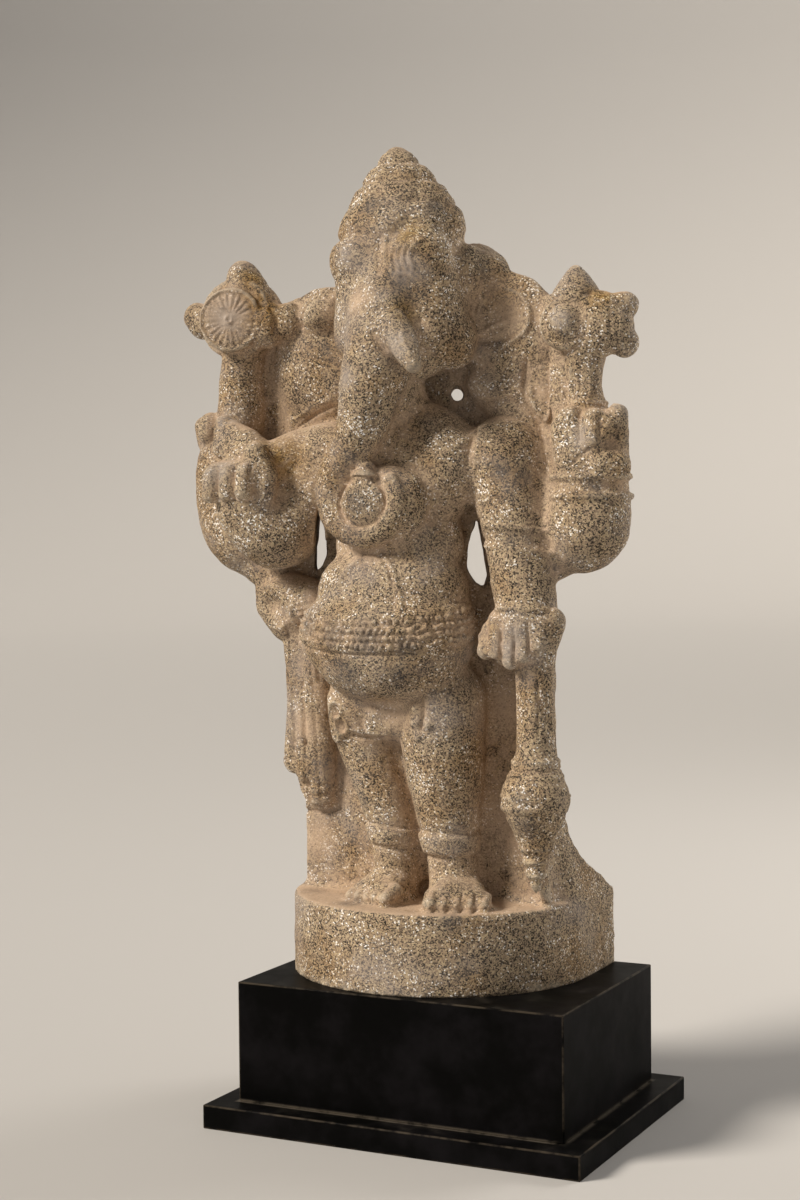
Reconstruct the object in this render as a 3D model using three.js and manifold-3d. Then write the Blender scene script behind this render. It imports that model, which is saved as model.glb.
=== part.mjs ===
// A standing four-armed, elephant-headed figure carved with its back slab and round-fronted base from one
// block of granite. The block stands on a black wooden plinth: a box on a wider board.
// Units are millimetres. +X is to the viewer's right, +Y to the back and +Z up. The origin is the middle of
// the board's underside. Places on the stele are measured from its own axis and from the plinth's top.

import * as THREE from "three";
import { ConvexGeometry } from "three/addons/geometries/ConvexGeometry.js";
import { mergeVertices } from "three/addons/utils/BufferGeometryUtils.js";
import Module from "manifold-3d";

const wasm = await Module();
wasm.setup();

// Driving dimensions
const BOARD = { width: 337, depth: 250, height: 20 };
const BOX = { width: 293, depth: 205, height: 101 };
const STELE_X = -17; // the stele's axis stands this far left of the plinth's middle
const BASE_RADIUS = 131; // the round front of the stone base, and half its width
const BASE_CENTRE_Y = 33;
const BASE_BACK_Y = 103;
const BASE_TOP = 67;
const SLAB_FRONT_Y = -10;
const SLAB_BACK_Y = 40;
const EAR_BACK_Y = 16; // the slab thins out behind the ears
const ARMS_Y = -16; // the middle of the raised arms' depth
const LEG_Y = -30;
const HEAD_Y = -36;
const CROWN_FOOT = 616;
const CROWN_TIP = 695;
const VIEW_DRIFT = -0.49; // the pierced gaps lean this far in X for each unit in Y
const SLENDER_RADIUS = 33; // limbs under this radius get fewer faces

// Materials
const GRANITE = new THREE.MeshStandardMaterial({ color: 0x9c8a6e, roughness: 0.85, metalness: 0 });
const BLACK_LACQUER = new THREE.MeshStandardMaterial({ color: 0x0d0d0f, roughness: 0.45, metalness: 0 });

// Solids from geometries

function solidOf(geometry) {
  const bare = geometry.index ? geometry.toNonIndexed() : geometry;
  const points = new THREE.BufferGeometry().setAttribute("position", bare.getAttribute("position"));
  const merged = mergeVertices(points, 1e-3);
  return new wasm.Manifold(
    new wasm.Mesh({
      numProp: 3,
      vertProperties: merged.attributes.position.array,
      triVerts: new Uint32Array(merged.index.array),
    }),
  );
}

function joined(solids) {
  return solids.reduce((sum, next) => sum.add(next));
}

function geometryOf(solid) {
  const mesh = solid.getMesh();
  const geometry = new THREE.BufferGeometry();
  geometry.setAttribute("position", new THREE.BufferAttribute(mesh.vertProperties, 3));
  geometry.setIndex(new THREE.BufferAttribute(mesh.triVerts, 1));
  geometry.computeVertexNormals();
  return geometry;
}

// An ellipsoid at a point, with its half sizes, leaned by some degrees about the Y axis.
function ball(at, half, lean = 0, around = 8) {
  const geometry = new THREE.SphereGeometry(1, around, Math.round(around * 0.6));
  geometry.rotateX(Math.PI / 2);
  geometry.scale(...half);
  geometry.rotateY(THREE.MathUtils.degToRad(lean));
  geometry.translate(...at);
  return solidOf(geometry);
}

// The points of a small sphere, for the hull of a limb's stretch. Depth squeezes it along Y.
function knobPoints([x, y, z, radius], depth) {
  const slender = radius < SLENDER_RADIUS;
  const sphere = slender ? new THREE.OctahedronGeometry(radius, 1) : new THREE.IcosahedronGeometry(radius, 1);
  const position = sphere.getAttribute("position");
  return Array.from({ length: position.count }, (_, i) =>
    new THREE.Vector3().fromBufferAttribute(position, i).multiply(new THREE.Vector3(1, depth, 1)).add(
      new THREE.Vector3(x, y, z),
    ),
  );
}

// A limb through points of [x, y, z, radius]: a tapering stretch between each point and the next.
function limb(points, depth = 1) {
  const stretches = points.slice(1).map((to, i) => {
    const hull = [...knobPoints(points[i], depth), ...knobPoints(to, depth)];
    return solidOf(new ConvexGeometry(hull));
  });
  return joined(stretches);
}

// A plate in the XZ plane: an outline of [x, z] from its front to its back, with chamfered rims.
function plate(outline, front, back, chamfer = 6) {
  const shape = new THREE.Shape(outline.map(([x, z]) => new THREE.Vector2(x, z)));
  const geometry = new THREE.ExtrudeGeometry(shape, {
    depth: back - front - 2 * chamfer,
    bevelEnabled: chamfer > 0,
    bevelThickness: chamfer,
    bevelSize: chamfer,
    bevelOffset: -chamfer,
    bevelSegments: 1,
  });
  geometry.rotateX(Math.PI / 2);
  geometry.translate(0, back - chamfer, 0);
  return solidOf(geometry);
}

// A body of revolution about a vertical axis: a profile of [radius, z], squeezed along Y and leaned in X.
function turned(at, profile, depth = 1, lean = 0, around = 16) {
  const points = profile.map(([radius, z]) => new THREE.Vector2(radius, z));
  const geometry = new THREE.LatheGeometry(points, around);
  geometry.rotateX(Math.PI / 2);
  geometry.scale(1, depth, 1);
  geometry.rotateY(THREE.MathUtils.degToRad(lean));
  geometry.translate(...at);
  return solidOf(geometry);
}

// A disc that faces the viewer, with a domed front.
function disc(at, radius, thick, dome) {
  const profile = [
    [0, -thick / 2],
    [radius, -thick / 2],
    [radius, thick / 2],
    [radius * 0.7, thick / 2 + dome * 0.7],
    [0, thick / 2 + dome],
  ].map(([across, forward]) => new THREE.Vector2(across, forward));
  const geometry = new THREE.LatheGeometry(profile, 16);
  geometry.rotateX(Math.PI);
  geometry.translate(...at);
  return solidOf(geometry);
}

// The stone's pieces, joined further down

function base() {
  const shape = new THREE.Shape();
  const corner = 5;
  shape.moveTo(-BASE_RADIUS, BASE_CENTRE_Y);
  shape.absarc(0, BASE_CENTRE_Y, BASE_RADIUS, Math.PI, 2 * Math.PI, false);
  shape.lineTo(BASE_RADIUS, BASE_BACK_Y - corner);
  shape.lineTo(BASE_RADIUS - corner, BASE_BACK_Y);
  shape.lineTo(-BASE_RADIUS + corner, BASE_BACK_Y);
  shape.lineTo(-BASE_RADIUS, BASE_BACK_Y - corner);
  const geometry = new THREE.ExtrudeGeometry(shape, {
    depth: BASE_TOP - 3,
    bevelEnabled: true,
    bevelThickness: 3,
    bevelSize: 3,
    bevelOffset: -3,
    bevelSegments: 1,
    curveSegments: 18,
  });
  const drum = solidOf(geometry);
  const below = solidOf(new THREE.BoxGeometry(400, 400, 20).translate(0, 0, -10));
  return drum.subtract(below);
}

// The back slab's outlines, as [x, z]
const lowerOutline = [
  [-117, 60],
  [-116, 140],
  [-124, 152],
  [-128, 186],
  [-124, 205],
  [-126, 270],
  [-138, 290],
  [-140, 330],
  [-120, 350],
  [100, 345],
  [101, 250],
  [104, 190],
  [110, 130],
  [116, 60],
];

const upperOutline = [
  [-158, 400],
  [-160, 568],
  [-142, 575],
  [-120, 583],
  [-84, 587],
  [-56, 606],
  [52, 612],
  [74, 588],
  [90, 582],
  [102, 573],
  [112, 560],
  [148, 548],
  [148, 400],
  [112, 335],
  [-120, 335],
];

function slab() {
  const lower = plate(lowerOutline, SLAB_FRONT_Y, SLAB_BACK_Y, 4);
  const upper = plate(upperOutline, SLAB_FRONT_Y - 4, EAR_BACK_Y, 4);
  return joined([lower, upper, slabFoot(), backRamp()]);
}

// Behind the waist the thick lower slab slopes up to the thin one behind the ears.
function backRamp() {
  const corners = [-118, 96].flatMap((x) => [
    new THREE.Vector3(x, 0, 300),
    new THREE.Vector3(x, SLAB_BACK_Y - 1, 300),
    new THREE.Vector3(x, SLAB_BACK_Y - 1, 330),
    new THREE.Vector3(x, EAR_BACK_Y - 1, 440),
    new THREE.Vector3(x, 0, 440),
  ]);
  return solidOf(new ConvexGeometry(corners));
}

// The slab spreads in a hollow curve to the base: the levels are [z, right edge, back].
function slabFoot() {
  const levels = [
    [62, 129, 101],
    [77, 127, 88],
    [94, 122, 60],
    [120, 114, 44],
    [150, 109, SLAB_BACK_Y - 4],
  ];
  const corners = levels.map(([z, right, back]) => [
    new THREE.Vector3(-115, SLAB_FRONT_Y + 4, z),
    new THREE.Vector3(right - 14, SLAB_FRONT_Y + 4, z),
    new THREE.Vector3(right, SLAB_FRONT_Y + 30, z),
    new THREE.Vector3(right, back, z),
    new THREE.Vector3(-115, back, z),
  ]);
  const storeys = corners.slice(1).map((above, i) => solidOf(new ConvexGeometry([...corners[i], ...above])));
  return joined(storeys);
}

// The toes and fingers fan out side by side, each one a short limb.
function digits(from, to, reach, radii) {
  return radii.map((radius, i) => {
    const t = radii.length > 1 ? i / (radii.length - 1) : 0;
    const [x, y, z] = from.map((start, axis) => start + (to[axis] - start) * t);
    return limb([
      [x, y, z, radius],
      [x + reach[0], y + reach[1], z + reach[2], radius * 0.9],
    ]);
  });
}

function legs() {
  const left = limb([
    [26, LEG_Y, 235, 36],
    [26, LEG_Y, 165, 29],
    [33, LEG_Y, 118, 22],
    [36, LEG_Y, 84, 20],
  ]);
  const right = limb([
    [-32, LEG_Y, 235, 34],
    [-30, LEG_Y, 165, 22],
    [-25, LEG_Y, 118, 18],
    [-20, LEG_Y, 84, 17],
  ]);
  const anklets = [
    limb([[33, LEG_Y, 124, 25], [34, LEG_Y, 110, 25]]),
    limb([[-25, LEG_Y, 126, 21], [-23, LEG_Y, 112, 21]]),
  ];
  const feet = [
    limb([[36, -28, 80, 18], [52, -62, 76, 14]]),
    limb([[-20, -28, 80, 17], [-24, -56, 76, 14]]),
  ];
  const toes = [
    ...digits([38, -70, 72], [72, -60, 70], [3, -8, 0], [8.5, 6, 5.5, 5.5, 5]),
    ...digits([-2, -62, 72], [-46, -50, 70], [-2, -8, 0], [8, 6, 5.5, 5.5, 5]),
  ];
  return joined([left, right, ...anklets, ...feet, ...toes]);
}

function skirt() {
  const shorts = ball([-2, LEG_Y, 238], [66, 38, 40], 0, 12);
  const sashKnot = ball([-105, -22, 258], [19, 18, 50]);
  const bow = ball([-134, -18, 306], [17, 14, 24]);
  const hem = ball([-122, -12, 171], [14, 13, 18]);
  const sashTail = limb([[-104, -20, 250, 22], [-100, -20, 160, 20]], 0.8);
  const tassels = [
    limb([[-54, -58, 240, 8], [-56, -56, 206, 9]]),
    limb([[28, -58, 236, 8], [26, -58, 208, 8]]),
  ];
  return joined([shorts, sashKnot, bow, hem, sashTail, ...tassels]);
}

function torso() {
  const chest = ball([-4, -34, 428], [72, 38, 56], 0, 12);
  const waist = ball([-8, -36, 352], [62, 40, 54], 0, 12);
  const belly = ball([-14, -44, 292], [77, 54, 60], 0, 12);
  const belt = ball([-14, -46, 302], [80, 56, 28], 0, 12);
  return joined([chest, waist, belly, belt]);
}

function head() {
  const skull = ball([-2, HEAD_Y, 560], [62, 46, 62], 0, 12);
  const brows = [ball([-26, -66, 596], [23, 18, 22]), ball([22, -68, 596], [25, 20, 24])];
  const cheeks = [ball([34, -56, 532], [30, 26, 30]), ball([-36, -52, 532], [26, 24, 30])];
  const temples = [ball([-58, HEAD_Y, 602], [13, 16, 18]), ball([62, -16, 600], [20, 17, 15], 30)];
  const tusk = limb([[16, -84, 538, 11], [28, -92, 520, 8], [38, -96, 507, 4]]);
  return joined([skull, ...brows, ...cheeks, ...temples, tusk]);
}

function crown() {
  const height = CROWN_TIP - CROWN_FOOT;
  const tiers = [
    [0, -8],
    [57, -8],
    [59, 6],
    [54, 18],
    [51, 21],
    [49, 30],
    [40, 42],
    [37, 45],
    [34, 53],
    [22, 63],
    [14, 71],
    [0, height],
  ];
  return turned([-2, HEAD_Y, CROWN_FOOT], tiers, 0.8, -4);
}

const POT = [-9, -90, 400];

function trunk() {
  const hanging = limb([
    [0, -60, 556, 36],
    [-3, -76, 524, 32],
    [-6, -84, 488, 25],
    [-13, -84, 452, 21],
    [-27, -80, 424, 18],
  ]);
  const turns = 6;
  const curl = Array.from({ length: turns + 1 }, (_, i) => {
    const angle = THREE.MathUtils.degToRad(150 + (i / turns) * 250);
    const radius = 17 - (i / turns) * 7;
    return [POT[0] + 27 * Math.cos(angle), POT[1] + 6, POT[2] + 27 * Math.sin(angle), radius];
  });
  const pot = ball(POT, [18, 13, 18]);
  const lid = limb([[POT[0] - 3, POT[1], POT[2] + 20, 11], [POT[0] - 3, POT[1], POT[2] + 33, 6]]);
  return joined([hanging, limb([[-27, -80, 424, 18], ...curl]), pot, lid]);
}

function ears() {
  const left = ball([84, -14, 538], [44, 14, 52], -12, 12);
  const right = ball([-92, -14, 534], [44, 14, 54], 12, 12);
  const leaf = ball([115, -16, 488], [11, 12, 24], 6);
  return joined([left, right, leaf]);
}

// The raised rear arms. Each hand holds its emblem up on a short stem.
function rearArms() {
  const right = limb([
    [-84, -4, 420, 34],
    [-140, -8, 376, 38],
    [-167, ARMS_Y, 376, 38],
    [-179, ARMS_Y, 420, 34],
    [-182, ARMS_Y, 450, 27],
  ], 0.85);
  const left = limb([
    [90, -4, 430, 34],
    [140, -8, 380, 34],
    [152, ARMS_Y, 380, 36],
    [154, ARMS_Y, 420, 33],
    [156, ARMS_Y, 446, 29],
  ], 0.85);
  const bangle = limb([[154, ARMS_Y, 424, 36], [154, ARMS_Y, 412, 36]], 0.9);
  const fingers = [
    ball([-208, ARMS_Y, 470], [11, 12, 12]),
    ball([181, ARMS_Y, 466], [10, 12, 12]),
    limb([[134, -32, 470, 9], [138, -36, 444, 9]]),
    limb([[158, -34, 468, 9], [160, -38, 444, 9]]),
    limb([[-188, -34, 470, 8], [-186, -40, 444, 9]]),
    limb([[-166, -34, 470, 8], [-162, -42, 440, 10]]),
  ];
  return joined([right, left, bangle, ...fingers]);
}

function wheel() {
  const stem = limb([[-165, ARMS_Y - 4, 540, 17], [-165, ARMS_Y - 4, 470, 16]]);
  const backing = disc([-162, -22, 562], 34, 26, 4);
  const face = disc([-167, -40, 563], 27, 12, 3);
  const flames = [
    limb([[-159, -20, 588, 19], [-156, -20, 604, 12]]),
    limb([[-196, -22, 560, 13], [-208, -22, 560, 11]]),
    limb([[-134, -20, 556, 17], [-122, -20, 553, 14]]),
  ];
  return joined([stem, backing, face, ...flames]);
}

function conch() {
  const stem = limb([[156, ARMS_Y, 520, 18], [156, ARMS_Y, 468, 15]]);
  const shell = ball([156, -20, 540], [36, 20, 28]);
  const boss = ball([147, -38, 540], [20, 14, 20]);
  const flames = [
    limb([[147, -18, 562, 20], [147, -18, 584, 7]]),
    limb([[184, -14, 556, 11], [185, -14, 528, 11]]),
    limb([[124, -14, 560, 14], [122, -14, 534, 14]]),
  ];
  return joined([stem, shell, boss, ...flames]);
}

// The front arms: the right one lifts a fist before the shoulder, the left one hangs to the club.
function frontArms() {
  const right = limb([
    [-74, -26, 440, 32],
    [-98, -34, 380, 32],
    [-110, -50, 372, 31],
    [-134, -68, 402, 26],
    [-144, -72, 424, 24],
  ]);
  const left = limb([
    [92, -22, 440, 34],
    [104, -24, 400, 30],
    [106, -28, 350, 26],
    [111, -36, 318, 24],
    [114, -46, 298, 25],
  ]);
  const bands = [
    limb([[106, -28, 374, 30], [107, -29, 366, 29]]),
    limb([[109, -36, 334, 27], [111, -38, 322, 27]]),
  ];
  const fingers = [
    ...digits([-168, -88, 424], [-138, -94, 424], [-1, -4, -20], [7.5, 7.5, 7.5]),
    limb([[-130, -84, 446, 9], [-122, -90, 420, 10]]),
    ...digits([97, -64, 300], [133, -56, 300], [0, -6, -24], [8.5, 8.5, 8.5, 8]),
    limb([[88, -52, 302, 9], [84, -56, 280, 8]]),
  ];
  return joined([right, left, ...bands, ...fingers]);
}

function club() {
  const profile = [
    [0, 84],
    [5, 90],
    [14, 118],
    [21, 130],
    [28, 156],
    [29, 168],
    [24, 188],
    [20, 194],
    [23, 200],
    [18, 208],
    [19, 240],
    [22, 290],
    [0, 296],
  ];
  return turned([115, -36, 0], profile);
}

// The gaps that the carver pierced, each one a slanted prism through the whole stone.
function pierced(x, z, halfWidth, halfHeight, around) {
  const outline = new THREE.Shape();
  outline.absellipse(0, 0, halfWidth, halfHeight, 0, 2 * Math.PI);
  const depth = 240;
  const geometry = new THREE.ExtrudeGeometry(outline, {
    depth,
    bevelEnabled: false,
    curveSegments: around / 2,
  });
  geometry.rotateX(Math.PI / 2);
  geometry.translate(0, depth / 2, 0);
  const slant = new THREE.Matrix4().set(1, VIEW_DRIFT, 0, x, 0, 1, 0, 0, 0, 0, 1, z, 0, 0, 0, 1);
  return solidOf(geometry.applyMatrix4(slant));
}

function stele() {
  const stone = joined([
    base(),
    slab(),
    legs(),
    skirt(),
    torso(),
    head(),
    crown(),
    trunk(),
    ears(),
    rearArms(),
    wheel(),
    conch(),
    frontArms(),
    club(),
  ]);
  const gaps = [
    pierced(47, 358, 8, 31, 16), // under the left armpit
    pierced(-97, 378, 6, 27, 16), // inside the right elbow
    pierced(30, 490, 6, 6, 12), // the drilled hole beside the neck
  ];
  return gaps.reduce((rest, gap) => rest.subtract(gap), stone);
}

// The object

const group = new THREE.Group();

function addMesh(name, geometry, material, x, z) {
  const mesh = new THREE.Mesh(geometry, material);
  mesh.name = name;
  mesh.position.set(x, 0, z);
  group.add(mesh);
}

const boardGeometry = new THREE.BoxGeometry(BOARD.width, BOARD.depth, BOARD.height);
const boxGeometry = new THREE.BoxGeometry(BOX.width, BOX.depth, BOX.height);
addMesh("plinth_board", boardGeometry, BLACK_LACQUER, 0, BOARD.height / 2);
addMesh("plinth_box", boxGeometry, BLACK_LACQUER, 0, BOARD.height + BOX.height / 2);
addMesh("stele", geometryOf(stele()), GRANITE, STELE_X, BOARD.height + BOX.height);

export default group;
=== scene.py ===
# %% [markdown]
# A standing four-armed, elephant-headed figure, carved with its back slab and its round-fronted base from
# one block of granite. It stands on a black lacquered wooden plinth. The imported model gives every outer
# size, and this script carves the finer forms inside that space and gives the stone and the wood their
# finish.

# %% The frame
from math import cos, pi, radians, sin

import bmesh
import bpy
import numpy as np
from mathutils import Euler, Matrix, Vector, noise
from mathutils.bvhtree import BVHTree


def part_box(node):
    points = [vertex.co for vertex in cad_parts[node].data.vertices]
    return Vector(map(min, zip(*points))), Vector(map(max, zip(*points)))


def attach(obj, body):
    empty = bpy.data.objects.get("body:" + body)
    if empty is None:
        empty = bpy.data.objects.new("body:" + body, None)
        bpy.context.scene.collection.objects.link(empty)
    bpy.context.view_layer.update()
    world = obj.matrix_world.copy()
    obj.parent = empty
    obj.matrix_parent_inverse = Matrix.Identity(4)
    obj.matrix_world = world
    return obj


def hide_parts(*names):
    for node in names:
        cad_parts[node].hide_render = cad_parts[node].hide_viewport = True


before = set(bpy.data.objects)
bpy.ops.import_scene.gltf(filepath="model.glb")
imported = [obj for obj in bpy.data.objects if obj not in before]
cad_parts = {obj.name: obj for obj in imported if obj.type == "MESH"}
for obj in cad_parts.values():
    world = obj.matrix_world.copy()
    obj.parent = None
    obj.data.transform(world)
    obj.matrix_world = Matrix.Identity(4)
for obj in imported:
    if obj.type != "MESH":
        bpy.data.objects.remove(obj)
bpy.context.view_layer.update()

stone_low, stone_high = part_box("stele")
print("the stone is", [round(1000 * side) for side in stone_high - stone_low], "mm")

# %% [markdown]
# The carving is modelled in millimetres around the stone's own axis, with Z up from the plinth's top and
# -Y towards the viewer. One matrix then puts it in its place in metres. The base reaches equally far to
# both sides of the axis, and the raised arm's flame reaches 196 mm to the right of it, which fixes where
# the axis is.

# %% Where the stone stands
FLAME_REACH = 196.0
AXIS_AT = (stone_high.x - FLAME_REACH / 1000, 0, stone_low.z)
STONE_PLACE = Matrix.Translation(AXIS_AT) @ Matrix.Scale(0.001, 4)

SLAB_FRONT = -10.0
SLAB_BACK = 40.0
EAR_BACK = 16.0
ARMS_Y = -16.0
LEG_Y = -30.0
HEAD_Y = -36.0
BASE_TOP = 67.0
BASE_RADIUS = 131.0
CROWN_FOOT = 616.0
print("the axis is at x =", round(STONE_PLACE.translation.x * 1000), "mm")

# %% [markdown]
# A carver leaves no seams between a limb and the block behind it: every form runs into the next in a soft
# hollow. So the figure is built as a modeller builds in clay. Balls, rolls and lumps overlap freely, a
# voxel remesh fuses them into one skin, and smoothing fills the corners. It is done twice: the body first,
# with wide soft hollows, and then hands, ornaments and emblems, with tighter ones.

# %% Lumps of clay
CLOSE = 0.01
BALL_DETAIL = 3
CURVE_STEPS = 4
TURN_STEPS = 48
DISC_CORNERS = 64


def as_mesh(name, piece):
    """A mesh made of a bmesh, which is freed."""
    mesh = bpy.data.meshes.new(name)
    piece.to_mesh(mesh)
    piece.free()
    return mesh


def linked(name, data):
    """A new object in the scene."""
    made = bpy.data.objects.new(name, data)
    bpy.context.scene.collection.objects.link(made)
    return made


def pour(clay, piece):
    """Adds a finished piece to the clay, with its faces pointing out."""
    bmesh.ops.recalc_face_normals(piece, faces=piece.faces)
    carrier = as_mesh("carrier", piece)
    clay.from_mesh(carrier)
    bpy.data.meshes.remove(carrier)


def weigh(clay):
    """Says how much clay there is so far."""
    print("the clay now has", len(clay.verts), "points")


def ball(clay, centre, half, lean=0.0):
    """An ellipsoid with its half sizes, leaned about Y by some degrees."""
    turn = Euler((0, radians(lean), 0)).to_matrix().to_4x4()
    place = Matrix.Translation(centre) @ turn @ Matrix.Diagonal((*half, 1))
    piece = bmesh.new()
    bmesh.ops.create_icosphere(piece, subdivisions=BALL_DETAIL, radius=1, matrix=place)
    pour(clay, piece)


unit = bmesh.new()
bmesh.ops.create_icosphere(unit, subdivisions=BALL_DETAIL, radius=1)
UNIT_BALL = [vert.co.copy() for vert in unit.verts]
unit.free()
print("a ball of clay has", len(UNIT_BALL), "points")


def hull(clay, points):
    """The smallest convex solid that holds the points."""
    piece = bmesh.new()
    for point in points:
        piece.verts.new(point)
    bmesh.ops.convex_hull(piece, input=piece.verts)
    pour(clay, piece)


def lump(clay, *balls, flat=1.0):
    """The convex form that wraps balls of (x, y, z, radius), each squeezed in Y by flat."""
    points = []
    for x, y, z, radius in balls:
        points += [(x + radius * p.x, y + flat * radius * p.y, z + radius * p.z) for p in UNIT_BALL]
    hull(clay, points)


def between(before, start, end, after, share):
    """A smooth curve's point between start and end."""
    bend = 2 * before - 5 * start + 4 * end - after
    swing = 3 * (start - end) + after - before
    return start + 0.5 * share * ((end - before) + share * (bend + share * swing))


def roll(clay, points, flat=1.0):
    """A roll of clay through points of (x, y, z, radius) along a smooth curve."""
    stops = [Vector(point) for point in points]
    ends = [stops[0], *stops, stops[-1]]
    steps = 1 if len(stops) == 2 else CURVE_STEPS
    for before, start, end, after in zip(ends, ends[1:], ends[2:], ends[3:]):
        line = [between(before, start, end, after, step / steps) for step in range(steps + 1)]
        for one, two in zip(line, line[1:]):
            lump(clay, one, two, flat=flat)


def plate(clay, outline, front, back):
    """A slab in the XZ plane with an outline of (x, z)."""
    piece = bmesh.new()
    face = piece.faces.new([piece.verts.new((x, front, z)) for x, z in outline])
    grown = bmesh.ops.extrude_face_region(piece, geom=[face])["geom"]
    corners = [item for item in grown if isinstance(item, bmesh.types.BMVert)]
    bmesh.ops.translate(piece, verts=corners, vec=(0, back - front, 0))
    pour(clay, piece)


def spin(piece, line, steps):
    """Turns a line of points and edges once round the Z axis."""
    axis = {"cent": (0, 0, 0), "axis": (0, 0, 1)}
    bmesh.ops.spin(piece, geom=line, angle=2 * pi, steps=steps, use_merge=True, **axis)


def turned(clay, at, profile, flat=1.0, lean=0.0):
    """A body turned about a vertical axis from a profile of (radius, z), squeezed in Y and leaned in X."""
    piece = bmesh.new()
    line = [piece.verts.new((radius, 0, z)) for radius, z in profile]
    edges = [piece.edges.new(pair) for pair in zip(line, line[1:])]
    spin(piece, line + edges, TURN_STEPS)
    bmesh.ops.remove_doubles(piece, verts=piece.verts, dist=CLOSE)
    turn = Matrix.Rotation(radians(lean), 4, "Y")
    place = Matrix.Translation(at) @ turn @ Matrix.Diagonal((1, flat, 1, 1))
    bmesh.ops.transform(piece, matrix=place, verts=piece.verts)
    pour(clay, piece)


def disc(clay, centre, radius, thick, swing=0.0):
    """A flat round disc that faces the viewer, swung about Z by some degrees."""
    place = Matrix.Translation(centre) @ Euler((pi / 2, 0, radians(swing))).to_matrix().to_4x4()
    piece = bmesh.new()
    size = {"segments": DISC_CORNERS, "radius1": radius, "radius2": radius, "depth": thick}
    bmesh.ops.create_cone(piece, cap_ends=True, matrix=place, **size)
    pour(clay, piece)


def with_modifiers(mesh, *settings):
    """The mesh after a row of modifiers, each one a kind and its settings."""
    holder = linked("holder", mesh)
    for kind, values in settings:
        modifier = holder.modifiers.new(kind.lower(), kind)
        for name, value in values.items():
            setattr(modifier, name, value)
    graph = bpy.context.evaluated_depsgraph_get()
    result = bpy.data.meshes.new_from_object(holder.evaluated_get(graph))
    bpy.data.objects.remove(holder)
    return result


def fused(clay, voxel, passes):
    """The clay as one skin, softened by some passes of smoothing."""
    remesh = ("REMESH", {"mode": "VOXEL", "voxel_size": voxel})
    return with_modifiers(as_mesh("heap", clay), remesh, ("SMOOTH", {"factor": 0.5, "iterations": passes}))


# %% [markdown]
# The base is a drum with a round front and a straight back. The slab stands on it, thick behind the legs
# and thinner behind the ears, and at its right foot it spreads to the base in a hollow curve. The outlines
# have only the corners that show, because the smoothing rounds them off.

# %% The base and the back slab
BASE_CENTRE_Y = 33.0
BASE_BACK_Y = 103.0
BASE_SUNK = -12.0
BASE_CORNERS = 144

LOWER_OUTLINE = [
    (-115, 50), (-115, 140), (-122, 152), (-126, 176), (-121, 205), (-124, 270), (-136, 290),
    (-138, 330), (-120, 350), (98, 345), (101, 250), (104, 190), (110, 130), (116, 50),
]
UPPER_OUTLINE = [
    (-156, 380), (-158, 562), (-142, 572), (-120, 580), (-84, 585), (-56, 606), (52, 617), (70, 605),
    (77, 588), (87, 583), (100, 570), (112, 556), (148, 546), (146, 380), (112, 335), (-120, 335),
]
# height, how far right and how far back
FOOT_LEVELS = [(55, 129, 101), (76, 127, 90), (86, 124, 72), (98, 120, 56), (114, 114, 46), (150, 107, 38)]


def drum(clay):
    """The base: a round front that ends in a straight back."""
    piece = bmesh.new()
    for level in (BASE_SUNK, BASE_TOP):
        rim = bmesh.ops.create_circle(piece, segments=BASE_CORNERS, radius=BASE_RADIUS)["verts"]
        bmesh.ops.translate(piece, verts=rim, vec=(0, BASE_CENTRE_Y, level))
        for side in (-BASE_RADIUS, BASE_RADIUS):
            piece.verts.new((side, BASE_BACK_Y, level))
    behind = [vert for vert in piece.verts if vert.co.y > BASE_BACK_Y + 1]
    bmesh.ops.delete(piece, geom=behind, context="VERTS")
    bmesh.ops.convex_hull(piece, input=piece.verts)
    pour(clay, piece)


clay = bmesh.new()
drum(clay)
plate(clay, LOWER_OUTLINE, SLAB_FRONT, SLAB_BACK)
plate(clay, UPPER_OUTLINE, SLAB_FRONT - 2, EAR_BACK)
hull(clay, [(x, y, z) for x in (-118, 96) for y, z in ((0, 300), (39, 300), (39, 330), (15, 440), (0, 440))])
for lower, upper in zip(FOOT_LEVELS, FOOT_LEVELS[1:]):
    corners = []
    for z, right, back in (lower, upper):
        corners += [(-112, -6, z), (right - 16, -6, z), (right, 20, z), (right, back, z), (-112, back, z)]
    hull(clay, corners)
weigh(clay)

# %% [markdown]
# The body is short and heavy: a broad chest, a waist that draws in, and a round belly that hangs over the
# belt. The left leg, on the viewer's right, is a thick column, and the right one slants in from the hip
# beside it.

# %% The torso and the legs
# the torso
ball(clay, (-4, -32, 430), (73, 38, 58))
ball(clay, (36, -42, 432), (34, 26, 34))
ball(clay, (-8, -34, 366), (58, 38, 46))
ball(clay, (-12, -40, 326), (68, 45, 44))
ball(clay, (-14, -44, 290), (78, 55, 54))
ball(clay, (-12, -50, 272), (66, 46, 39))
ball(clay, (-2, -24, 236), (64, 34, 42))

# the legs and the feet
roll(clay, [(29, LEG_Y, 235, 37), (29, LEG_Y, 193, 35), (32, LEG_Y, 158, 30), (35, LEG_Y, 112, 21)])
roll(clay, [(35, LEG_Y, 112, 21), (37, LEG_Y, 84, 20)])
roll(clay, [(-44, LEG_Y, 235, 32), (-45, LEG_Y + 2, 200, 25), (-27, LEG_Y, 152, 21), (-19, LEG_Y, 125, 20)])
roll(clay, [(-19, LEG_Y, 125, 20), (-15, LEG_Y, 84, 18)])
roll(clay, [(-8, -12, 208, 20), (5, -12, 150, 15), (11, -12, 92, 13)])
lump(clay, (37, -28, 82, 21), (42, -50, 79, 15), (40, -66, 74, 10.5), (70, -50, 73, 9.5))
lump(clay, (-15, -28, 82, 19), (-18, -44, 79, 14), (-10, -60, 74, 10), (-42, -46, 73, 9))
weigh(clay)

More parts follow.
